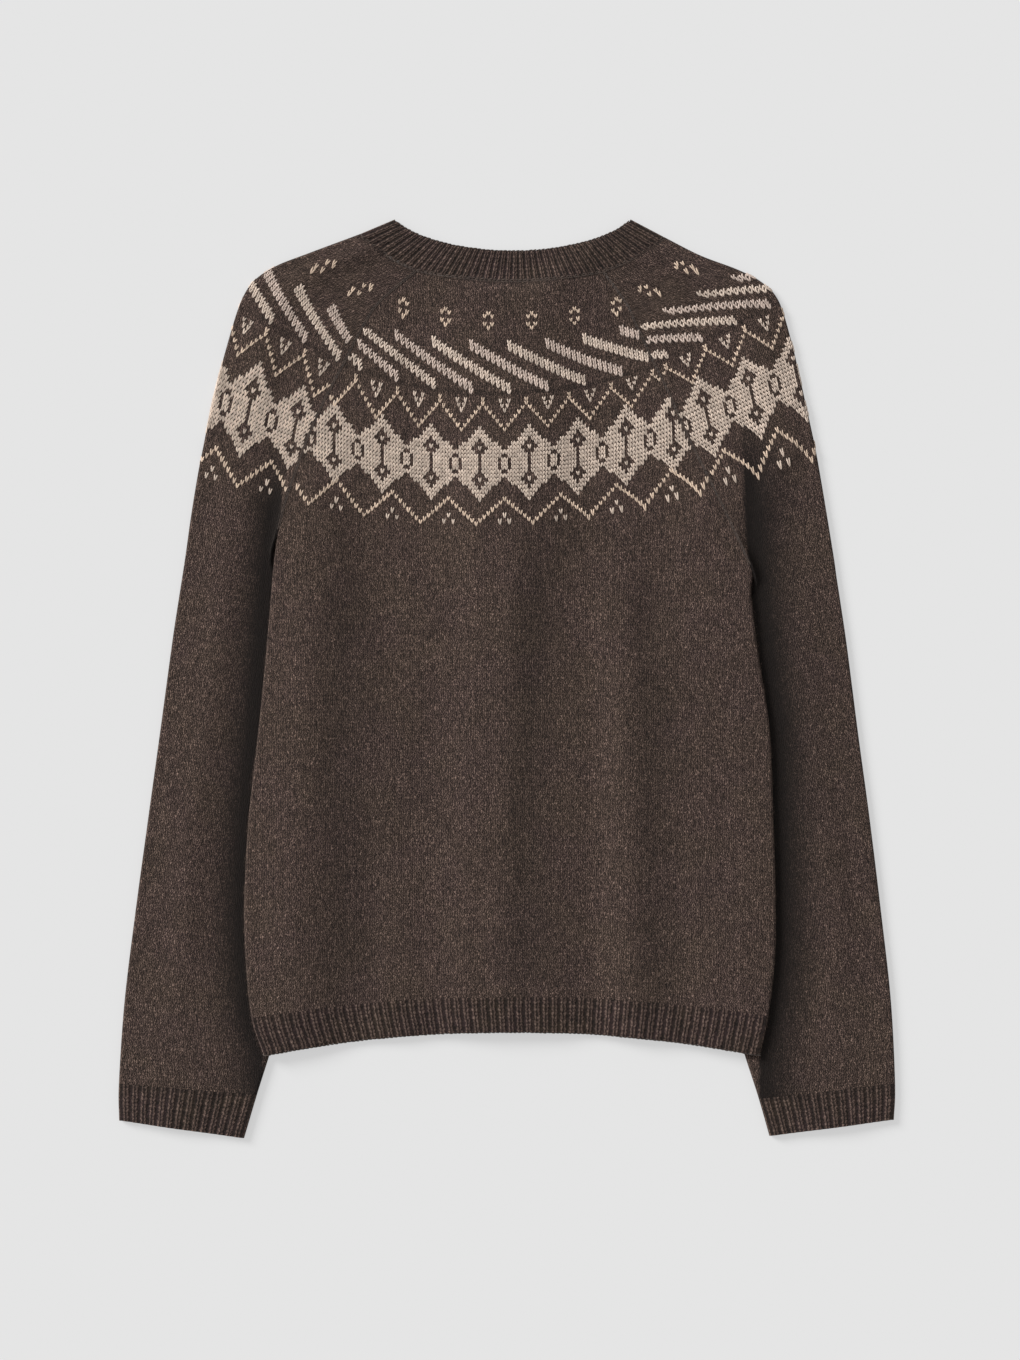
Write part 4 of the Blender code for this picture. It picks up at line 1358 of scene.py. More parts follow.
@dataclass(frozen=True)
class YokeChart:
    """The bands of the yoke, top to bottom, as charted."""

    row_reach: float = 0.04

    def bands(self) -> list[Band]:
        """All bands."""
        top = [self.arrowheads(), *self.leaves(), self.sprigs()]
        return [*top, self.upper_zigzag(), self.lozenges(), self.lower_zigzag()]

    def arrowheads(self) -> Band:
        """Pairs of small arrowheads under the neck rib."""
        marks = [Mark(0, 315.5, Yarn.CREAM), Mark(0, 330.0, Yarn.CREAM)]
        for side in (-1, 1):
            marks += [Mark(3.65 * side, 318.4, Yarn.CREAM), Mark(3.65 * side, 326.2, Yarn.CREAM)]
        return Band("dots", 43.3, -16.2, tuple(marks))

    def leaves(self) -> list[Band]:
        """Slanting stripes, one bright and one dim in turn."""
        bands = []
        for yarn, phase in ((Yarn.OATMEAL, 5.0), (Yarn.ROSE, 43.0)):
            marks = []
            for column in range(15):
                for stitch in range(3):
                    down = 344.0 + 3.02 * column + 3.5 * stitch
                    width = 4.4 if yarn is Yarn.OATMEAL else 4.2
                    lean = 0.5 * (stitch - 1)
                    marks.append(Mark(5.35 * column + lean, down, yarn, width, 4.7))
            bands.append(Band(yarn.name.lower(), 76.0, phase, tuple(marks)))
        return bands

    def sprigs(self) -> Band:
        """Small darts between the upper zigzag's peaks."""
        marks = [Mark(0, 411.8, Yarn.OATMEAL, 3.5, 4.8)]
        for side in (-1, 1):
            marks.append(Mark(4.1 * side, 402.4, Yarn.OATMEAL, 3.5, 4.6))
            marks.append(Mark(2.6 * side, 407.2, Yarn.OATMEAL, 3.3, 4.4))
        return Band("sprigs", 43.4, 0.0, tuple(marks))

    def upper_zigzag(self) -> Band:
        """One stitch a row, down and up again in twelve stitches."""
        marks = [Mark(21.7, 401.2, Yarn.CREAM)]
        for step in range(-5, 7):
            marks.append(Mark(21.7 + 3.617 * step, 405.2 + 4.3 * abs(step), Yarn.CREAM))
        return Band("upper zigzag", 43.4, 0.0, tuple(marks))

    def lozenges(self) -> Band:
        """Solid lozenges with two dark rings and a bar, and a small ring between them."""
        reach = (0, 1, 2, 3, 5, 6, 7, 7, 7, 7, 7, 7, 7, 6, 5, 3, 2, 1, 0)
        marks = []
        for row in range(19):
            for column in range(-7, 8):
                if abs(column) <= reach[row] and not self.dark(column, row):
                    marks.append(Mark(3.3 * column, 429.6 + 3.95 * row, Yarn.OATMEAL, 3.5, 4.3))
        return Band("lozenges", 49.5, -24.75, tuple(marks))

    def dark(self, column: int, row: int) -> bool:
        """Whether a stitch inside a lozenge is left brown.

        Args:
            column: Stitches from the lozenge's middle line, -7 to 7.
            row: Rows from its upper tip, 0 to 18.

        Returns:
            True for a brown stitch.
        """
        across = abs(column)
        for middle in (5, 13):
            away = abs(row - middle)
            if across <= 2 - away and not (across == 0 and away == 0):
                return True
        if across == 0 and 7 < row < 11:
            return True
        away = abs(row - 9)
        return (across == 6 and away <= 1) or (across == 7 and away == 2)

    def lower_zigzag(self) -> Band:
        """The shallow zigzag that ends the yoke, with darts under its peaks."""
        marks = [Mark(0, 516.4, Yarn.OATMEAL, 3.6, 4.8)]
        for side in (-1, 1):
            marks.append(Mark(4.7 * side, 522.6, Yarn.OATMEAL, 3.6, 4.8))
        for step in range(-6, 8):
            marks.append(Mark(4.057 * step, 500.2 + 3.5 * abs(step), Yarn.CREAM, 3.7, 4.4))
        return Band("lower zigzag", 56.8, 0.0, tuple(marks))

    def stitches(self, surface: Surface, shifts: dict[str, float], way: int = 1) -> Stitches:
        """Lay the chart on a piece.

        Args:
            surface: The piece's cloth.
            shifts: How far each band is moved round the garment, in pixels.
            way: 1 where the piece's rows run round the garment as the chart
                does, left to right over the back, and -1 where they run back.

        Returns:
            The places of the light stitches.
        """
        found = []
        rows: dict[float, ChartRow] = {}
        for band in self.bands():
            shift = shifts.get(band.name, shifts["all"])
            for mark in band.marks:
                if mark.down not in rows:
                    rows[mark.down] = self.row(surface, mark.down)
                row = rows[mark.down]
                start = row.zero + way * (band.phase + mark.across + shift) * PIXEL
                at = row.repeats(start, band.repeat * PIXEL)
                if len(at):
                    found.append(row.stitches(mark, at))
        return Stitches(*(np.concatenate(column) for column in zip(*found)))

    def row(self, surface: Surface, down: float) -> ChartRow:
        """Lay one row of the chart on a piece.

        Args:
            surface: The piece's cloth.
            down: The row's place at centre back, in pixels down the photograph.

        Returns:
            The row.
        """
        number = FORM.row_at(down)
        higher, lower = max(number - self.row_reach, 0.0), number + self.row_reach
        line = surface.line(number)
        usual = along(FORM.centre_line, higher) - along(FORM.centre_line, lower)
        above, below = surface.line(higher).outer, surface.line(lower).outer
        return ChartRow(line, above, below, surface.zero(line), abs(float(usual[0])))


# The pieces


def row_numbers(end: float, above: int = 96, below: int = 84) -> np.ndarray:
    """Row numbers from the neck seam to an end, closer in the yoke."""
    return np.concatenate([np.linspace(0, ARMPIT, above), np.linspace(ARMPIT, end, below)[1:]])


@dataclass
class Wools:
    """The cloth finishes, built once, and the pieces worked in them."""

    knit: bpy.types.Material
    rib: bpy.types.Material
    light: bpy.types.Material
    brown: bpy.types.Material

    def plain(self, name: str, shell: Shell) -> None:
        """Knit a plain piece in place of the node of its name."""
        declare(shell.piece(f"{name}_knit", self.knit), "brown_wool", name)

    def ribbed(self, name: str, shell: Shell, node: str) -> None:
        """Knit a ribbed piece in place of a node."""
        declare(shell.piece(f"{name}_knit", self.rib), "brown_rib", node)

    def pattern(self, name: str, maker: StitchMaker, places: Stitches) -> None:
        """Work a piece's light stitches."""
        declare(maker.piece(f"{name}_pattern", places, self.light), "oatmeal_wool")


@dataclass(frozen=True)
class SeamShade:
    """Shade along the neck seam, the yoke's two faint lines and the raglan seams."""

    neck: float = 0.5
    neck_rows: float = 0.05
    lines: tuple[tuple[float, float], ...] = ((331.5, 0.22), (394.5, 0.42))  # pixels down, shade
    line_rows: float = 0.055
    raglan: float = 0.22
    raglan_width: float = 1.8

    def over(self, points: np.ndarray, row: float) -> np.ndarray:
        """Shade of one row.

        Args:
            points: Its points.
            row: Its number.

        Returns:
            The shade at each point.
        """
        shade = np.full(len(points), self.neck * math.exp(-(row / self.neck_rows) ** 2))
        for down, depth in self.lines:
            away = abs(row - FORM.row_at(down))
            shade += depth * math.exp(-(away / self.line_rows) ** 2)
        if row < ARMPIT:
            reached = lengths_along(points)
            near = np.minimum(reached, reached[-1] - reached)
            shade += self.raglan * np.exp(-(near / self.raglan_width) ** 2)
        return shade


def count_ribs(shell: Shell, steps: int) -> None:
    """Number the columns of a ribbed shell in ribs, whole in the furrows."""
    rows, cols = shell.outer.shape[:2]
    shell.wales = np.tile((np.arange(cols) - EDGE_POINTS) / steps, (rows, 1))


@dataclass
class BackPanel:
    """The back: its panel, its light stitches and its hem rib."""

    wools: Wools
    columns: int = 96
    hem_ribs: int = 57
    rib_steps: int = 8
    rib_rise: float = 0.4

    def line(self, row: float, ribs: int = 0) -> RowLine:
        """One row of the back.

        Args:
            row: Its number.
            ribs: How many ribs it has, or 0 for the panel.

        Returns:
            Its points.
        """
        left, right, _ = FORM.body_row(row)
        ends = FORM.edge_turn(row)
        start, stop = left[0] + FORM.round, right[0] - FORM.round
        x = np.linspace(start, stop, ribs * self.rib_steps + 1 if ribs else self.columns)
        y = FORM.row_y(row, x)
        top = FORM.upper_z(x, y)
        lift = rib_wave(ribs, len(x), self.rib_rise)
        outer, inner = [], []
        for edge, sign in ((x[0], -1), (x[-1], 1)):
            side_y = float(FORM.row_y(row, edge))
            base = float(FORM.upper_z(edge, side_y)) - FORM.round
            outer.append([(edge + sign * s, side_y, base + r) for s, r, _, _ in ends])
            inner.append([(edge + sign * s, side_y, base + r) for _, _, s, r in ends])
        middle_out = np.stack([x, y, top + lift], axis=1)
        middle_in = np.stack([x, y, top - FORM.cloth], axis=1)
        return RowLine(
            np.concatenate([outer[0], middle_out, outer[1][::-1]]),
            np.concatenate([inner[0], middle_in, inner[1][::-1]]),
        )

    def zero(self, line: RowLine) -> float:
        """Distance along a row to the middle line."""
        return float(np.interp(CENTRE_X, line.outer[:, 0], lengths_along(line.outer)))

    def painted_shade(self, points: np.ndarray, row: float) -> np.ndarray:
        """Painted shade of the yoke and its seams, and in the troughs at the armpits."""
        shade = SeamShade().over(points, row)
        for trough in FORM.trough_shades:
            shade += trough.rise(points[:, 0], points[:, 1])
        return shade

    def build(self, chart: YokeChart, maker: StitchMaker) -> None:
        """Make the panel, its stitches and its rib."""
        surface = Surface(self.line, self.zero, self.painted_shade)
        self.wools.plain("back", surface.shell(row_numbers(HEM_SEAM)))
        self.wools.pattern("back", maker, chart.stitches(surface, {"all": 0.0}))
        ribbed = Surface(lambda row: self.line(row, self.hem_ribs))
        shell = ribbed.shell(np.linspace(HEM_SEAM + FORM.seam_step / RIB_DEPTH, HEM, 10))
        count_ribs(shell, self.rib_steps)
        self.wools.ribbed("back_hem", shell, "back_hem_rib")


@dataclass
class FrontPanel:
    """One front, hidden under the back: its panel, light stitches and hem rib."""

    side: Side
    wools: Wools
    columns: int = 44
    hem_ribs: int = 27
    rib_steps: int = 6
    rib_rise: float = 0.35

    def line(self, row: float, ribs: int = 0) -> RowLine:
        """One row of the front.

        Args:
            row: Its number.
            ribs: How many ribs it has, or 0 for the panel.

        Returns:
            Its points.
        """
        side = self.side
        edge = FORM.front_raglan(side, row)
        centre_y = FORM.centre_line[ARMPIT, 0]
        stop_y = FORM.front_neck_y + (centre_y - FORM.front_neck_y) * row / ARMPIT
        stop = side.band_x + side.sign * FORM.seam
        start = edge[0] - side.sign * FORM.round
        x = np.linspace(start, stop, ribs * self.rib_steps + 1 if ribs else self.columns)

        def at(places: np.ndarray) -> np.ndarray:
            """Y of the row at some X."""
            if row >= ARMPIT:
                return FORM.row_y(row, places)
            u = (places - edge[0]) / (stop - edge[0])
            return stop_y + (edge[1] - stop_y) * (1 - u) ** 2

        y = at(x)
        low = FORM.lower_z(x, y)
        dent = 0.0
        if ribs:
            dent = self.rib_rise * np.cos(np.linspace(0, math.pi * ribs, len(x))) ** 2
        start_y = float(at(np.array(start)))
        base = float(FORM.lower_z(np.array(start), np.array(start_y))) + FORM.round
        ends = FORM.edge_turn(row)
        outer = [(start + side.sign * s, start_y, base - r) for s, r, _, _ in ends]
        inner = [(start + side.sign * s, start_y, base - r) for _, _, s, r in ends]
        return RowLine(
            np.concatenate([outer, np.stack([x, y, low + dent], axis=1)]),
            np.concatenate([inner, np.stack([x, y, low + FORM.cloth], axis=1)]),
        )

    def build(self, chart: YokeChart, maker: StitchMaker) -> None:
        """Make the panel, its stitches and its rib."""
        name = self.side.name
        surface = Surface(self.line, lambda line: lengths_along(line.outer)[-1])
        self.wools.plain(f"{name}_front", surface.shell(row_numbers(HEM_SEAM, 72, 66)))
        places = chart.stitches(surface, {"all": 0.0}, self.side.sign)
        self.wools.pattern(f"{name}_front", maker, places)
        ribbed = Surface(lambda row: self.line(row, self.hem_ribs))
        shell = ribbed.shell(np.linspace(HEM_SEAM + FORM.seam_step / RIB_DEPTH, FRONT_HEM, 8))
        count_ribs(shell, self.rib_steps)
        self.wools.ribbed(f"{name}_front_hem", shell, f"{name}_front_hem_rib")


@dataclass
class Layer:
    """One row of a sleeve's upper or lower layer, from its seam to the outer fold."""

    seam: np.ndarray
    seam_z: float
    fold: np.ndarray
    sign: int
    bow: float = 0.0

    @property
    def length(self) -> float:
        """Distance from the seam to the fold."""
        return float(np.linalg.norm(self.seam - self.fold))

    @property
    def begin(self) -> float:
        """Share of the length at which the rounded edge ends."""
        return (FORM.round + FORM.seam_step) / self.length

    def spots(self, share: np.ndarray) -> np.ndarray:
        """Plan points at shares of the way from the seam to the fold."""
        flat = self.seam + (self.fold - self.seam) * share[:, None]
        flat[:, 1] += self.bow * np.sin(math.pi * share)
        return flat

    def tips(self, row: float) -> tuple[np.ndarray, np.ndarray]:
        """Outer and inner points that round the layer's edge at a row's seam."""
        base = self.seam_z - self.sign * FORM.round
        turn = np.array(FORM.edge_turn(row))
        tips = []
        for steps, rises in ((turn[:, 0], turn[:, 1]), (turn[:, 2], turn[:, 3])):
            plan = self.spots(self.begin - steps / self.length)
            tips.append(np.column_stack([plan, base + self.sign * rises]))
        return tips[0], tips[1]


@dataclass
class Sleeve:
    """One sleeve: upper layer, outer fold and lower layer, with its cuff."""

    side: Side
    wools: Wools
    upper_columns: int = 44
    lower_columns: int = 26
    turns: int = 6
    cuff_ribs: int = 14
    rib_steps: int = 6
    rib_rise: float = 0.7
    under_share: float = 0.5
    bow_rows: float = 3.0
    crease_soft: float = 0.5
    crease_sharp: float = 0.12
    hidden_margin: float = 0.05
    most_hidden: float = 0.5
    stroke_start: float = 0.15
    stroke_end: float = 0.12
    shade_start: float = 5.4
    shade_rows: float = 3.2
    shade_width: dict[str, float] = field(default_factory=lambda: {"left": 36.0, "right": 50.0})
    narrowest: float = 0.45
    shade_depth: float = 1.12
    shade_loss: float = 0.14
    loss_start: float = 12.0
    loss_rows: float = 7.0
    shade_gap: float = 1.0
    edge_lap: float = 1.2
    edge_soft: float = 1.6
    cuff_seam_shade: float = 0.35
    cuff_seam_rows: float = 0.06

    def line(self, row: float, ribs: int = 0) -> RowLine:
        """One row of the sleeve, from its upper seam round to its lower seam.

        Args:
            row: Its number.
            ribs: How many ribs each layer has, or 0 for the sleeve.

        Returns:
            Its points.
        """
        upper, lower = self.layers(row)
        over = self.shares(upper, ribs, self.upper_columns)
        under = self.shares(lower, ribs, self.lower_columns)
        plan, under_plan = upper.spots(over), lower.spots(under)
        top = self.top(row, upper, over, plan)
        low = lower.seam_z * (1 - self.settled(row, under))
        wave = rib_wave(ribs, len(over), self.rib_rise)
        under_wave = rib_wave(ribs, len(under), self.rib_rise) * self.under_share
        (upper_out, upper_in), (lower_out, lower_in) = upper.tips(row), lower.tips(row)
        outer = (
            upper_out,
            np.column_stack([plan, top + wave]),
            self.outer_fold(row, upper.fold, FORM.round),
            np.column_stack([under_plan, low + under_wave])[::-1],
            lower_out[::-1],
        )
        inner = (
            upper_in,
            np.column_stack([plan, top - FORM.cloth]),
            self.outer_fold(row, upper.fold, FORM.round - FORM.cloth),
            np.column_stack([under_plan, low + FORM.cloth])[::-1],
            lower_in[::-1],
        )
        return RowLine(np.concatenate(outer), np.concatenate(inner))

    def layers(self, row: float) -> tuple[Layer, Layer]:
        """The upper and the lower layer of a row."""
        side = self.side
        seam_x, seam_y, fold_x, fold_y, _ = along(side.sleeve, row)
        fold = np.array((fold_x, fold_y)) - FORM.fold_normal(side, row) * FORM.round
        upper_seam = np.array((seam_x, seam_y))
        lower_seam = FORM.front_raglan(side, row) if row < ARMPIT else upper_seam
        dive = float(ease(row - ARMPIT))
        armpit = side.edge[ARMPIT]
        top = float(FORM.upper_z(*(upper_seam if row < ARMPIT else armpit)))
        low = float(FORM.lower_z(*(lower_seam if row < ARMPIT else armpit)))
        top += (FORM.flat - top) * dive
        low += (0.0 - low) * dive
        bow = -NECK_BOW * max(1 - row / self.bow_rows, 0) ** 2
        return Layer(upper_seam, top, fold, 1, bow), Layer(lower_seam, low, fold, -1)

    def shares(self, layer: Layer, ribs: int, columns: int) -> np.ndarray:
        """Shares of a layer's length at which its columns stand."""
        return np.linspace(layer.begin, 1, ribs * self.rib_steps + 1 if ribs else columns)

    def settled(self, row: float, share: np.ndarray) -> np.ndarray:
        """How far the cloth has come down past the sleeve's crease, 0 to 1."""
        crease = along(self.side.sleeve, row)[4]
        sharpening = (self.crease_sharp - self.crease_soft) * float(ease(row / ARMPIT))
        softness = self.crease_soft + sharpening
        return ease((share - crease + softness) / (2 * softness))

    def top(self, row: float, layer: Layer, share: np.ndarray, plan: np.ndarray) -> np.ndarray:
        """Height of the upper layer, with its swell and its soft ridges.

        Args:
            row: Row number.
            layer: The upper layer there.
            share: Shares of its length.
            plan: Its plan points at those shares.

        Returns:
            The height of each point.
        """
        side = self.side
        seam_x, seam_y, fold_x, _, crease = along(side.sleeve, row)
        hidden = abs(seam_x - float(side.body_line(seam_y))) / abs(seam_x - fold_x)
        covered = hidden + self.hidden_margin if row > ARMPIT + 1 else 0.0
        covered = min(max(crease, covered), self.most_hidden)
        shown = np.maximum(share - covered, 0) / (1 - covered)
        z = layer.seam_z + (FORM.flat - layer.seam_z) * self.settled(row, share)
        z = z + FORM.puff * np.sin(math.pi * shown) ** 2
        started = ease((share - covered) / self.stroke_start)
        ended = ease((1 - share) / self.stroke_end)
        for stroke in FORM.left_strokes if side.sign < 0 else FORM.right_strokes:
            z = z + stroke.rise(plan[:, 0], plan[:, 1]) * started * ended
        return z

    def outer_fold(self, row: float, fold: np.ndarray, radius: float) -> np.ndarray:
        """Points round the outer fold at a radius, from the top down."""
        normal = FORM.fold_normal(self.side, row)
        points = []
        for angle in np.radians(np.linspace(90, -90, self.turns + 2)[1:-1]):
            reach = fold + normal * radius * math.cos(angle)
            points.append((*reach, FORM.round + radius * math.sin(angle)))
        return np.array(points)

    def zero(self, line: RowLine) -> float:
        """Distance along a row to the outer fold."""
        middle = EDGE_POINTS + self.upper_columns + self.turns // 2
        return float(lengths_along(line.outer)[middle])

    def painted_shade(self, points: np.ndarray, row: float) -> np.ndarray:
        """Painted shade of the yoke and its seams, and painted shadow of the body along the crease
        and beside the body's edge.
        """
        side = self.side
        seam_x, _, fold_x, _, crease = along(side.sleeve, row)
        if row < ARMPIT:
            away = side.sign * (points[:, 0] - seam_x - (fold_x - seam_x) * crease)
        else:
            away = side.sign * (points[:, 0] - side.body_line(points[:, 1]))
        below = float(ease((row - self.shade_start) / self.shade_rows))
        wide = self.shade_width[side.name] * (self.narrowest + (1 - self.narrowest) * below)
        lost = self.shade_loss * float(ease((row - self.loss_start) / self.loss_rows))
        fade = 1 - ease((away - self.shade_gap) / wide)
        lap = ease((away + self.edge_lap) / self.edge_soft)
        beside = (self.shade_depth - lost) * fade * below * lap
        upper = np.arange(len(points)) < EDGE_POINTS + self.upper_columns
        return np.clip(np.where(upper, beside, 0.0) + SeamShade().over(points, row), 0, 1)

    def build(self, chart: YokeChart, maker: StitchMaker, shift: dict[str, float]) -> None:
        """Make the sleeve, its light stitches and its cuff.

        Args:
            chart: The yoke's chart.
            maker: What makes the raised stitches.
            shift: How far each band is moved along this sleeve, in pixels.
        """
        name = self.side.name
        surface = Surface(self.line, self.zero, self.painted_shade)
        self.wools.plain(f"{name}_sleeve", surface.shell(row_numbers(CUFF_SEAM, 92, 110)))
        places = chart.stitches(surface, shift, self.side.sign)
        self.wools.pattern(f"{name}_sleeve", maker, places)
        ribbed = Surface(lambda row: self.line(row, self.cuff_ribs), painted_shade=self.cuff_shade)
        start = CUFF_SEAM + FORM.seam_step / RIB_DEPTH
        shell = ribbed.shell(np.linspace(start, CUFF, 12))
        shell.wales = np.tile(self.cuff_numbers(), (len(shell.outer), 1))
        self.wools.ribbed(f"{name}_cuff", shell, f"{name}_cuff")

    def cuff_numbers(self) -> np.ndarray:
        """Number the cuff's columns in ribs: the upper layer, the fold and the lower layer."""
        layer = self.cuff_ribs * self.rib_steps
        return np.concatenate([
            np.arange(-EDGE_POINTS, layer + 1) / self.rib_steps,
            self.cuff_ribs + np.linspace(0, 1, self.turns + 2)[1:-1],
            self.cuff_ribs + 1 + np.arange(0, layer + EDGE_POINTS + 1) / self.rib_steps,
        ])

    def cuff_shade(self, points: np.ndarray, row: float) -> np.ndarray:
        """No shade but a little at the cuff's seam."""
        away = (row - CUFF_SEAM) / self.cuff_seam_rows
        return np.full(len(points), self.cuff_seam_shade * math.exp(-away ** 2))


@dataclass
class NeckRib:
    """The ribbed strip round the neck, folded at both shoulders."""

    wools: Wools
    ribs: int = 44
    steps: int = 8
    under_steps: int = 60
    under_rib_steps: int = 4
    levels: int = 9
    rib_rise: float = 0.7
    under_share: float = 0.5
    edge_y: float = 340.4
    edge_bow: float = 18.5
    edge_lift: float = 5.1
    under_bow: float = 2.4

    def upper_seam(self) -> list[tuple[float, float]]:
        """The neck seam over the back, from the left shoulder's fold to the right's."""
        ends = []
        for side in FORM.sides:
            fold = side.sleeve[0, 2:4] - FORM.neck_fold_normal(side) * FORM.round
            run = []
            for w in np.linspace(0, 1, 13):
                x, y = fold + (side.sleeve[0, :2] - fold) * w
                run.append((x, y - NECK_BOW * math.sin(math.pi * w)))
            ends.append(run)
        left, right, _ = FORM.body_row(0)
        xs = np.linspace(left[0], right[0], 41)[1:-1]
        return ends[0] + list(zip(xs, FORM.row_y(0, xs))) + ends[1][::-1]

    def upper_edge(self) -> list[tuple[float, float]]:
        """The free edge over the back, peak to peak."""
        start = FORM.left.peak - FORM.neck_fold_normal(FORM.left) * FORM.round
        stop = FORM.right.peak - FORM.neck_fold_normal(FORM.right) * FORM.round
        middle, half = (start[0] + stop[0]) / 2, (stop[0] - start[0]) / 2
        xs = np.linspace(start[0], stop[0], 81)
        t = (xs - middle) / half
        return list(zip(xs, self.edge_y + self.edge_bow * t ** 2 + self.edge_lift * t ** 8))

    def lower_seam(self, side: Side) -> list[tuple[float, float]]:
        """The neck seam under the garment, from a shoulder's fold to its band."""
        raglan = FORM.front_raglan(side, 0)
        stop = side.band_x + side.sign * FORM.seam
        points = [tuple(side.sleeve[0, 2:4] - FORM.neck_fold_normal(side) * FORM.round)]
        for u in np.linspace(0, 1, 21):
            y = FORM.front_neck_y + (raglan[1] - FORM.front_neck_y) * (1 - u) ** 2
            points.append((raglan[0] + (stop - raglan[0]) * u, y))
        return points

    def lower_edge(self, side: Side) -> list[tuple[float, float]]:
        """The free edge under the garment, from a peak to the band."""
        start = side.peak - FORM.neck_fold_normal(side) * FORM.round
        stop = side.band_x + side.sign * FORM.seam
        points = []
        for u in np.linspace(0, 1, 21):
            rise = (start[1] - FORM.front_neck_edge_y) * (1 - u) ** self.under_bow
            points.append((start[0] + (stop - start[0]) * u, FORM.front_neck_edge_y + rise))
        return points

    def column(self, seam: np.ndarray, edge: np.ndarray) -> np.ndarray:
        """Plan points from just off the seam to the free edge."""
        start = seam + unit(edge - seam) * FORM.seam_step
        return start + (edge - start) * np.linspace(0, 1, self.levels)[:, None]

    def shell(self) -> Shell:
        """Gather the strip's columns, left band to right band."""
        outer: list[np.ndarray] = []
        inner: list[np.ndarray] = []
        count: list[float] = []
        seam_line, edge_line = self.upper_seam(), self.upper_edge()

        def lay(seam: np.ndarray, edge: np.ndarray, upper: bool, lift: float) -> None:
            """Add one column of a layer."""
            plan = self.column(seam, edge)
            z = (FORM.upper_z if upper else FORM.lower_z)(plan[:, 0], plan[:, 1])
            round_off = lift * (1 - np.linspace(0, 1, self.levels) ** 6)
            outer.append(np.column_stack([plan, z + round_off]))
            inner.append(np.column_stack([plan, z + (-FORM.cloth if upper else FORM.cloth)]))

        def under(side: Side, shares: np.ndarray, first: float) -> None:
            """Add a run under the garment."""
            seam, edge = self.lower_seam(side), self.lower_edge(side)
            for k, share in enumerate(shares):
                turned = math.sin(math.pi * k / self.under_rib_steps) ** 2
                wave = self.rib_rise * self.under_share * turned
                lay(polyline(seam, share), polyline(edge, share), False, wave)
                count.append(first + k / self.under_rib_steps)

        def turn(side: Side, angles: np.ndarray, first: float) -> None:
            """Add a shoulder's fold."""
            normal = FORM.neck_fold_normal(side)
            inset = normal * FORM.round
            plan = self.column(side.sleeve[0, 2:4] - inset, side.peak - inset)
            for k, angle in enumerate(np.radians(angles)):
                for columns, radius in ((outer, FORM.round), (inner, FORM.round - FORM.cloth)):
                    reach = plan + normal * radius * math.cos(angle)
                    rise = np.full(self.levels, FORM.round + radius * math.sin(angle))
                    columns.append(np.column_stack([reach, rise]))
                count.append(first + (k + 1) / (len(angles) + 1))

        angles = np.linspace(-90, 90, 8)[1:-1]
        lower = self.under_steps // self.under_rib_steps
        under(FORM.left, np.linspace(1, 0, self.under_steps + 1), 0)
        turn(FORM.left, angles, lower)
        steps = self.ribs * self.steps
        for k, share in enumerate(np.linspace(0, 1, steps + 1)):
            wave = self.rib_rise * math.sin(math.pi * k / self.steps) ** 2
            lay(polyline(seam_line, share), polyline(edge_line, share), True, wave)
            count.append(lower + 1 + k / self.steps)
        turn(FORM.right, angles[::-1], lower + 1 + self.ribs)
        under(FORM.right, np.linspace(0, 1, self.under_steps + 1), lower + 2 + self.ribs)
        wales = np.repeat(np.array(count)[:, None], self.levels, axis=1)
        rows = np.repeat(np.linspace(0, 7, self.levels)[None], len(count), axis=0)
        return Shell(np.array(outer), np.array(inner), wales, rows)

    def build(self) -> None:
        """Make the strip."""
        self.wools.ribbed("neck", self.shell(), "neck_rib")


@dataclass
class FrontBand:
    """One of the two front bands, ribbed across, that carry the buttons."""

    node: str
    low: float
    wools: Wools
    lowest_y: float = -281.5
    rib: float = 5.8
    rib_steps: int = 6
    groove: float = 0.25
    corner: float = 0.6
    columns: int = 13

    def build(self) -> None:
        """Make the band, with its ribs lying across it on both faces."""
        high_y = FORM.front_neck_edge_y
        count = int((high_y - self.lowest_y) / self.rib)
        ys = np.linspace(self.lowest_y, high_y, count * self.rib_steps + 1)
        wave = self.groove * np.cos(np.linspace(0, math.pi * count, len(ys))) ** 2
        left, right = FORM.band_left, FORM.band_right
        face = np.linspace(left + self.corner, right - self.corner, self.columns)
        xs = np.concatenate([[left], face, [right]])
        edge = np.array([self.corner, *np.zeros(self.columns), self.corner])
        inset = edge + wave[:, None] * (edge == 0)
        across, down = np.meshgrid(xs, ys)
        outer = np.stack([across, down, self.low + inset], axis=2)
        inner = np.stack([across, down, self.low + FORM.band_thick - inset], axis=2)
        wales = np.repeat(np.linspace(0, count, len(ys))[:, None], len(xs), axis=1)
        rows = np.repeat(((xs - left) / COURSE)[None], len(ys), axis=0)
        self.wools.ribbed(self.node, Shell(outer, inner, wales, rows), self.node)


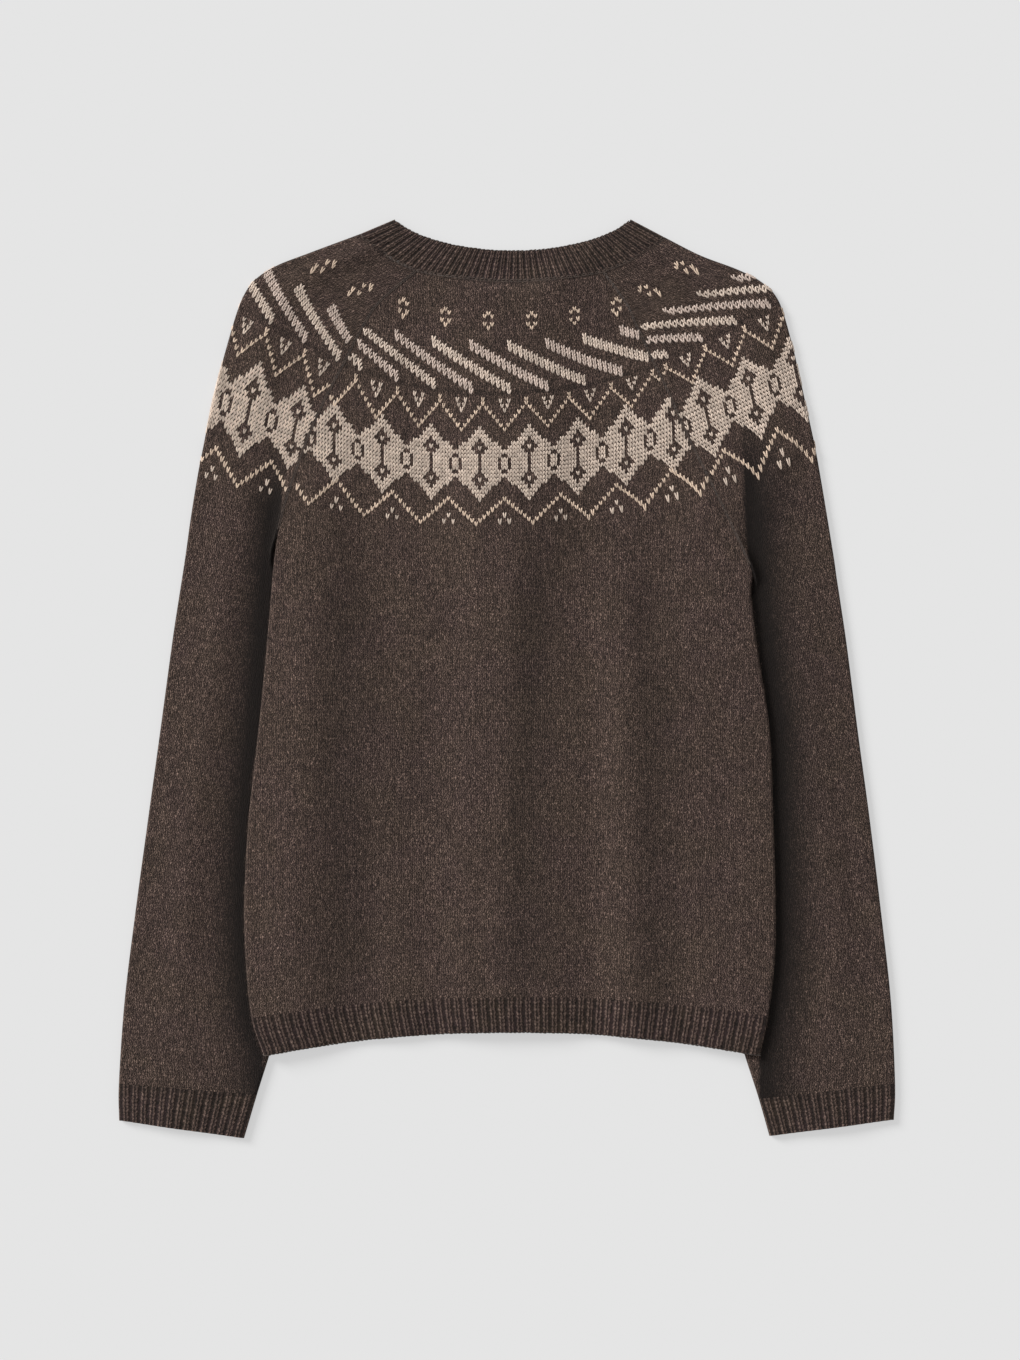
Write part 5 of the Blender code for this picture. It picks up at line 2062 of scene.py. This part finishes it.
@dataclass
class Buttons:
    """Eight dark horn buttons, face down, each sewn through four holes."""

    finish: bpy.types.Material
    thread: bpy.types.Material
    count: int = 8
    radius: float = 7.5
    thick: float = 2.5
    rim: float = 0.2
    slope: float = 0.12
    dish: float = 0.24
    soft_edge: float = 0.32
    hole_radius: float = 0.6
    hole_off_centre: float = 1.1
    thread_radius: float = 0.36
    thread_length: float = 3.4
    thread_height: float = 0.45
    lowest_y: float = -266.0
    highest_y: float = 276.0
    centre_x: float = 3.0

    def pattern(self) -> bpy.types.Object:
        """Model one button at the origin, its face down.

        Returns:
            The object that the others are copied from.
        """
        radius, thick = self.radius * METRE, self.thick * METRE
        bpy.ops.object.select_all(action="DESELECT")
        bpy.ops.mesh.primitive_cylinder_add(
            vertices=40, radius=radius, depth=thick, location=(0, 0, thick / 2)
        )
        blank = bpy.context.object
        bpy.ops.object.transform_apply(location=True)
        bpy.ops.object.mode_set(mode="EDIT")
        shape = bmesh.from_edit_mesh(blank.data)
        for face in shape.faces:
            face.select_set(face.normal.z < -0.9)
        bmesh.update_edit_mesh(blank.data)
        bpy.ops.mesh.inset(thickness=radius * self.rim, depth=0)
        bpy.ops.mesh.inset(thickness=radius * self.slope, depth=0)
        bpy.ops.transform.translate(value=(0, 0, thick * self.dish))
        bpy.ops.mesh.select_all(action="DESELECT")
        bpy.ops.object.mode_set(mode="OBJECT")
        bevel = blank.modifiers.new("soft edges", "BEVEL")
        bevel.width = self.soft_edge * METRE
        bevel.segments = 3
        bevel.limit_method = "ANGLE"
        bevel.angle_limit = math.radians(28)
        bpy.ops.object.modifier_apply(modifier=bevel.name)
        off = self.hole_off_centre * METRE
        for x in (-off, off):
            for y in (-off, off):
                self.drill(blank, x, y)
        pick(blank)
        bpy.ops.object.shade_smooth_by_angle(angle=math.radians(35))
        return blank

    def drill(self, blank: bpy.types.Object, x: float, y: float) -> None:
        """Cut one sewing hole through the blank.

        Args:
            blank: The button.
            x: Place of the hole across.
            y: Place of the hole along.
        """
        bpy.ops.object.select_all(action="DESELECT")
        bpy.ops.mesh.primitive_cylinder_add(
            vertices=14, radius=self.hole_radius * METRE, depth=10 * METRE, location=(x, y, 0.0)
        )
        bit = bpy.context.object
        bpy.ops.object.transform_apply(location=True)
        pick(blank)
        cut = blank.modifiers.new("hole", "BOOLEAN")
        cut.operation = "DIFFERENCE"
        cut.object = bit
        bpy.ops.object.modifier_apply(modifier=cut.name)
        bpy.data.objects.remove(bit, do_unlink=True)

    def crossed_thread(self) -> bpy.types.Object:
        """Model the thread crossed between the four holes of a button at the origin."""
        bpy.ops.object.select_all(action="DESELECT")
        bars = []
        for turn in (math.pi / 4, -math.pi / 4):
            bpy.ops.mesh.primitive_cylinder_add(
                vertices=8,
                radius=self.thread_radius * METRE,
                depth=self.thread_length * METRE,
                location=(0, 0, self.thread_height * METRE),
                rotation=(math.pi / 2, 0, turn),
            )
            bars.append(bpy.context.object)
            bpy.ops.object.transform_apply(location=True, rotation=True)
        for bar in bars:
            bar.select_set(True)
        bpy.ops.object.join()
        return bpy.context.object

    def copies(
        self, first: bpy.types.Object, name: str, finish: bpy.types.Material
    ) -> list[bpy.types.Object]:
        """Copy a piece of a button to every button's place.

        Args:
            first: The piece at the origin, which is removed.
            name: Name of the copies, to which their number is added.
            finish: Their finish.

        Returns:
            The copies, lowest button first.
        """
        first.data.materials.clear()
        first.data.materials.append(finish)
        made = []
        for number, y in enumerate(np.linspace(self.lowest_y, self.highest_y, self.count), 1):
            mesh = first.data.copy()
            shift = (np.array((self.centre_x, y, 0.0)) - PLAN_CENTRE) * METRE
            mesh.transform(Matrix.Translation(shift.tolist()))
            made.append(put_down(f"{name}_{number}", mesh))
        bpy.data.objects.remove(first, do_unlink=True)
        return made

    def build(self) -> None:
        """Make the eight buttons and the thread crossed in their holes."""
        buttons = self.copies(self.pattern(), "horn_button", self.finish)
        for number, button in enumerate(buttons, 1):
            declare(button, "dark_horn", f"button_{number}")
        for thread in self.copies(self.crossed_thread(), "button_thread", self.thread):
            declare(thread, "brown_rib")


@dataclass
class Studio:
    """The plain floor, the soft light and the camera straight above."""

    frame_height: float = 1.088
    lens: float = 85.0
    sensor: float = 36.0
    centre: tuple[float, float] = (0.0024, -0.0010)
    sky: float = 0.46
    sun: float = 4.2
    sun_from: tuple[float, float, float] = (-0.74, 0.50, 0.46)
    sun_spread: float = 24.0
    floor_size: float = 8.0
    floor_down: float = 0.0004

    def build(self) -> None:
        """Set all of it up."""
        bpy.ops.object.select_all(action="DESELECT")
        bpy.ops.mesh.primitive_plane_add(size=self.floor_size, location=(0, 0, -self.floor_down))
        floor = bpy.context.object
        floor.name = "floor"
        bpy.ops.object.transform_apply(location=True)
        floor.data.materials.append(PaleFloor().material())
        world = bpy.data.worlds.new("soft room")
        world.use_nodes = True
        sky = world.node_tree.nodes["Background"]
        sky.inputs["Color"].default_value = rgb(1.0, 1.0, 1.0)
        sky.inputs["Strength"].default_value = self.sky
        bpy.context.scene.world = world
        lamp = bpy.data.lights.new("window light", "SUN")
        lamp.energy = self.sun
        lamp.angle = math.radians(self.sun_spread)
        key = put_down("window light", lamp)
        key.rotation_euler = Vector(self.sun_from).to_track_quat("Z", "Y").to_euler()
        data = bpy.data.cameras.new("camera")
        data.lens = self.lens
        data.sensor_width = self.sensor
        camera = put_down("camera", data)
        camera.location = (*self.centre, self.frame_height * self.lens / self.sensor)
        bpy.context.scene.camera = camera
        bpy.context.scene.view_settings.view_transform = "Standard"


@dataclass
class Cardigan:
    """The whole garment."""

    wools: Wools
    chart: YokeChart = field(default_factory=YokeChart)
    maker: StitchMaker = field(default_factory=StitchMaker)
    left_shift: dict[str, float] = field(
        default_factory=lambda: {"all": 16.0, "dots": -2.0, "oatmeal": 34.0, "rose": 34.0}
    )
    right_shift: dict[str, float] = field(default_factory=lambda: {"all": 20.0, "dots": 36.0})

    def build(self) -> None:
        """Make every piece in order."""
        BackPanel(self.wools).build(self.chart, self.maker)
        for side in FORM.sides:
            FrontPanel(side, self.wools).build(self.chart, self.maker)
        Sleeve(FORM.left, self.wools).build(self.chart, self.maker, self.left_shift)
        Sleeve(FORM.right, self.wools).build(self.chart, self.maker, self.right_shift)
        neck = NeckRib(self.wools)
        neck.build()
        SeamWork(self.maker, self.wools.brown, self.wools.knit).build(neck, BackPanel(self.wools))
        FrontBand("buttonhole_band", FORM.lower_band_z, self.wools).build()
        FrontBand("button_band", FORM.upper_band_z, self.wools).build()
        Buttons(DarkHorn().material(), self.wools.brown).build()
        Pattern().lay_out()


def main() -> None:
    """Build the scene and report each piece."""
    logging.basicConfig(level=logging.INFO, format="%(name)s %(message)s")
    Studio().build()
    wools = Wools(
        knit=HeatherWool("brown heather knit", Stitch.STOCKING).material(),
        rib=HeatherWool(
            "brown heather rib",
            Stitch.RIB,
            ground=(0.052, 0.0330, 0.0265),
            fleck_and_highlight=(0.230, 0.158, 0.127),
            uneven=0.5,
        ).material(),
        light=PatternYarn().material(),
        brown=BrownYarn().material(),
    )
    Cardigan(wools).build()


if __name__ == "__main__":
    main()
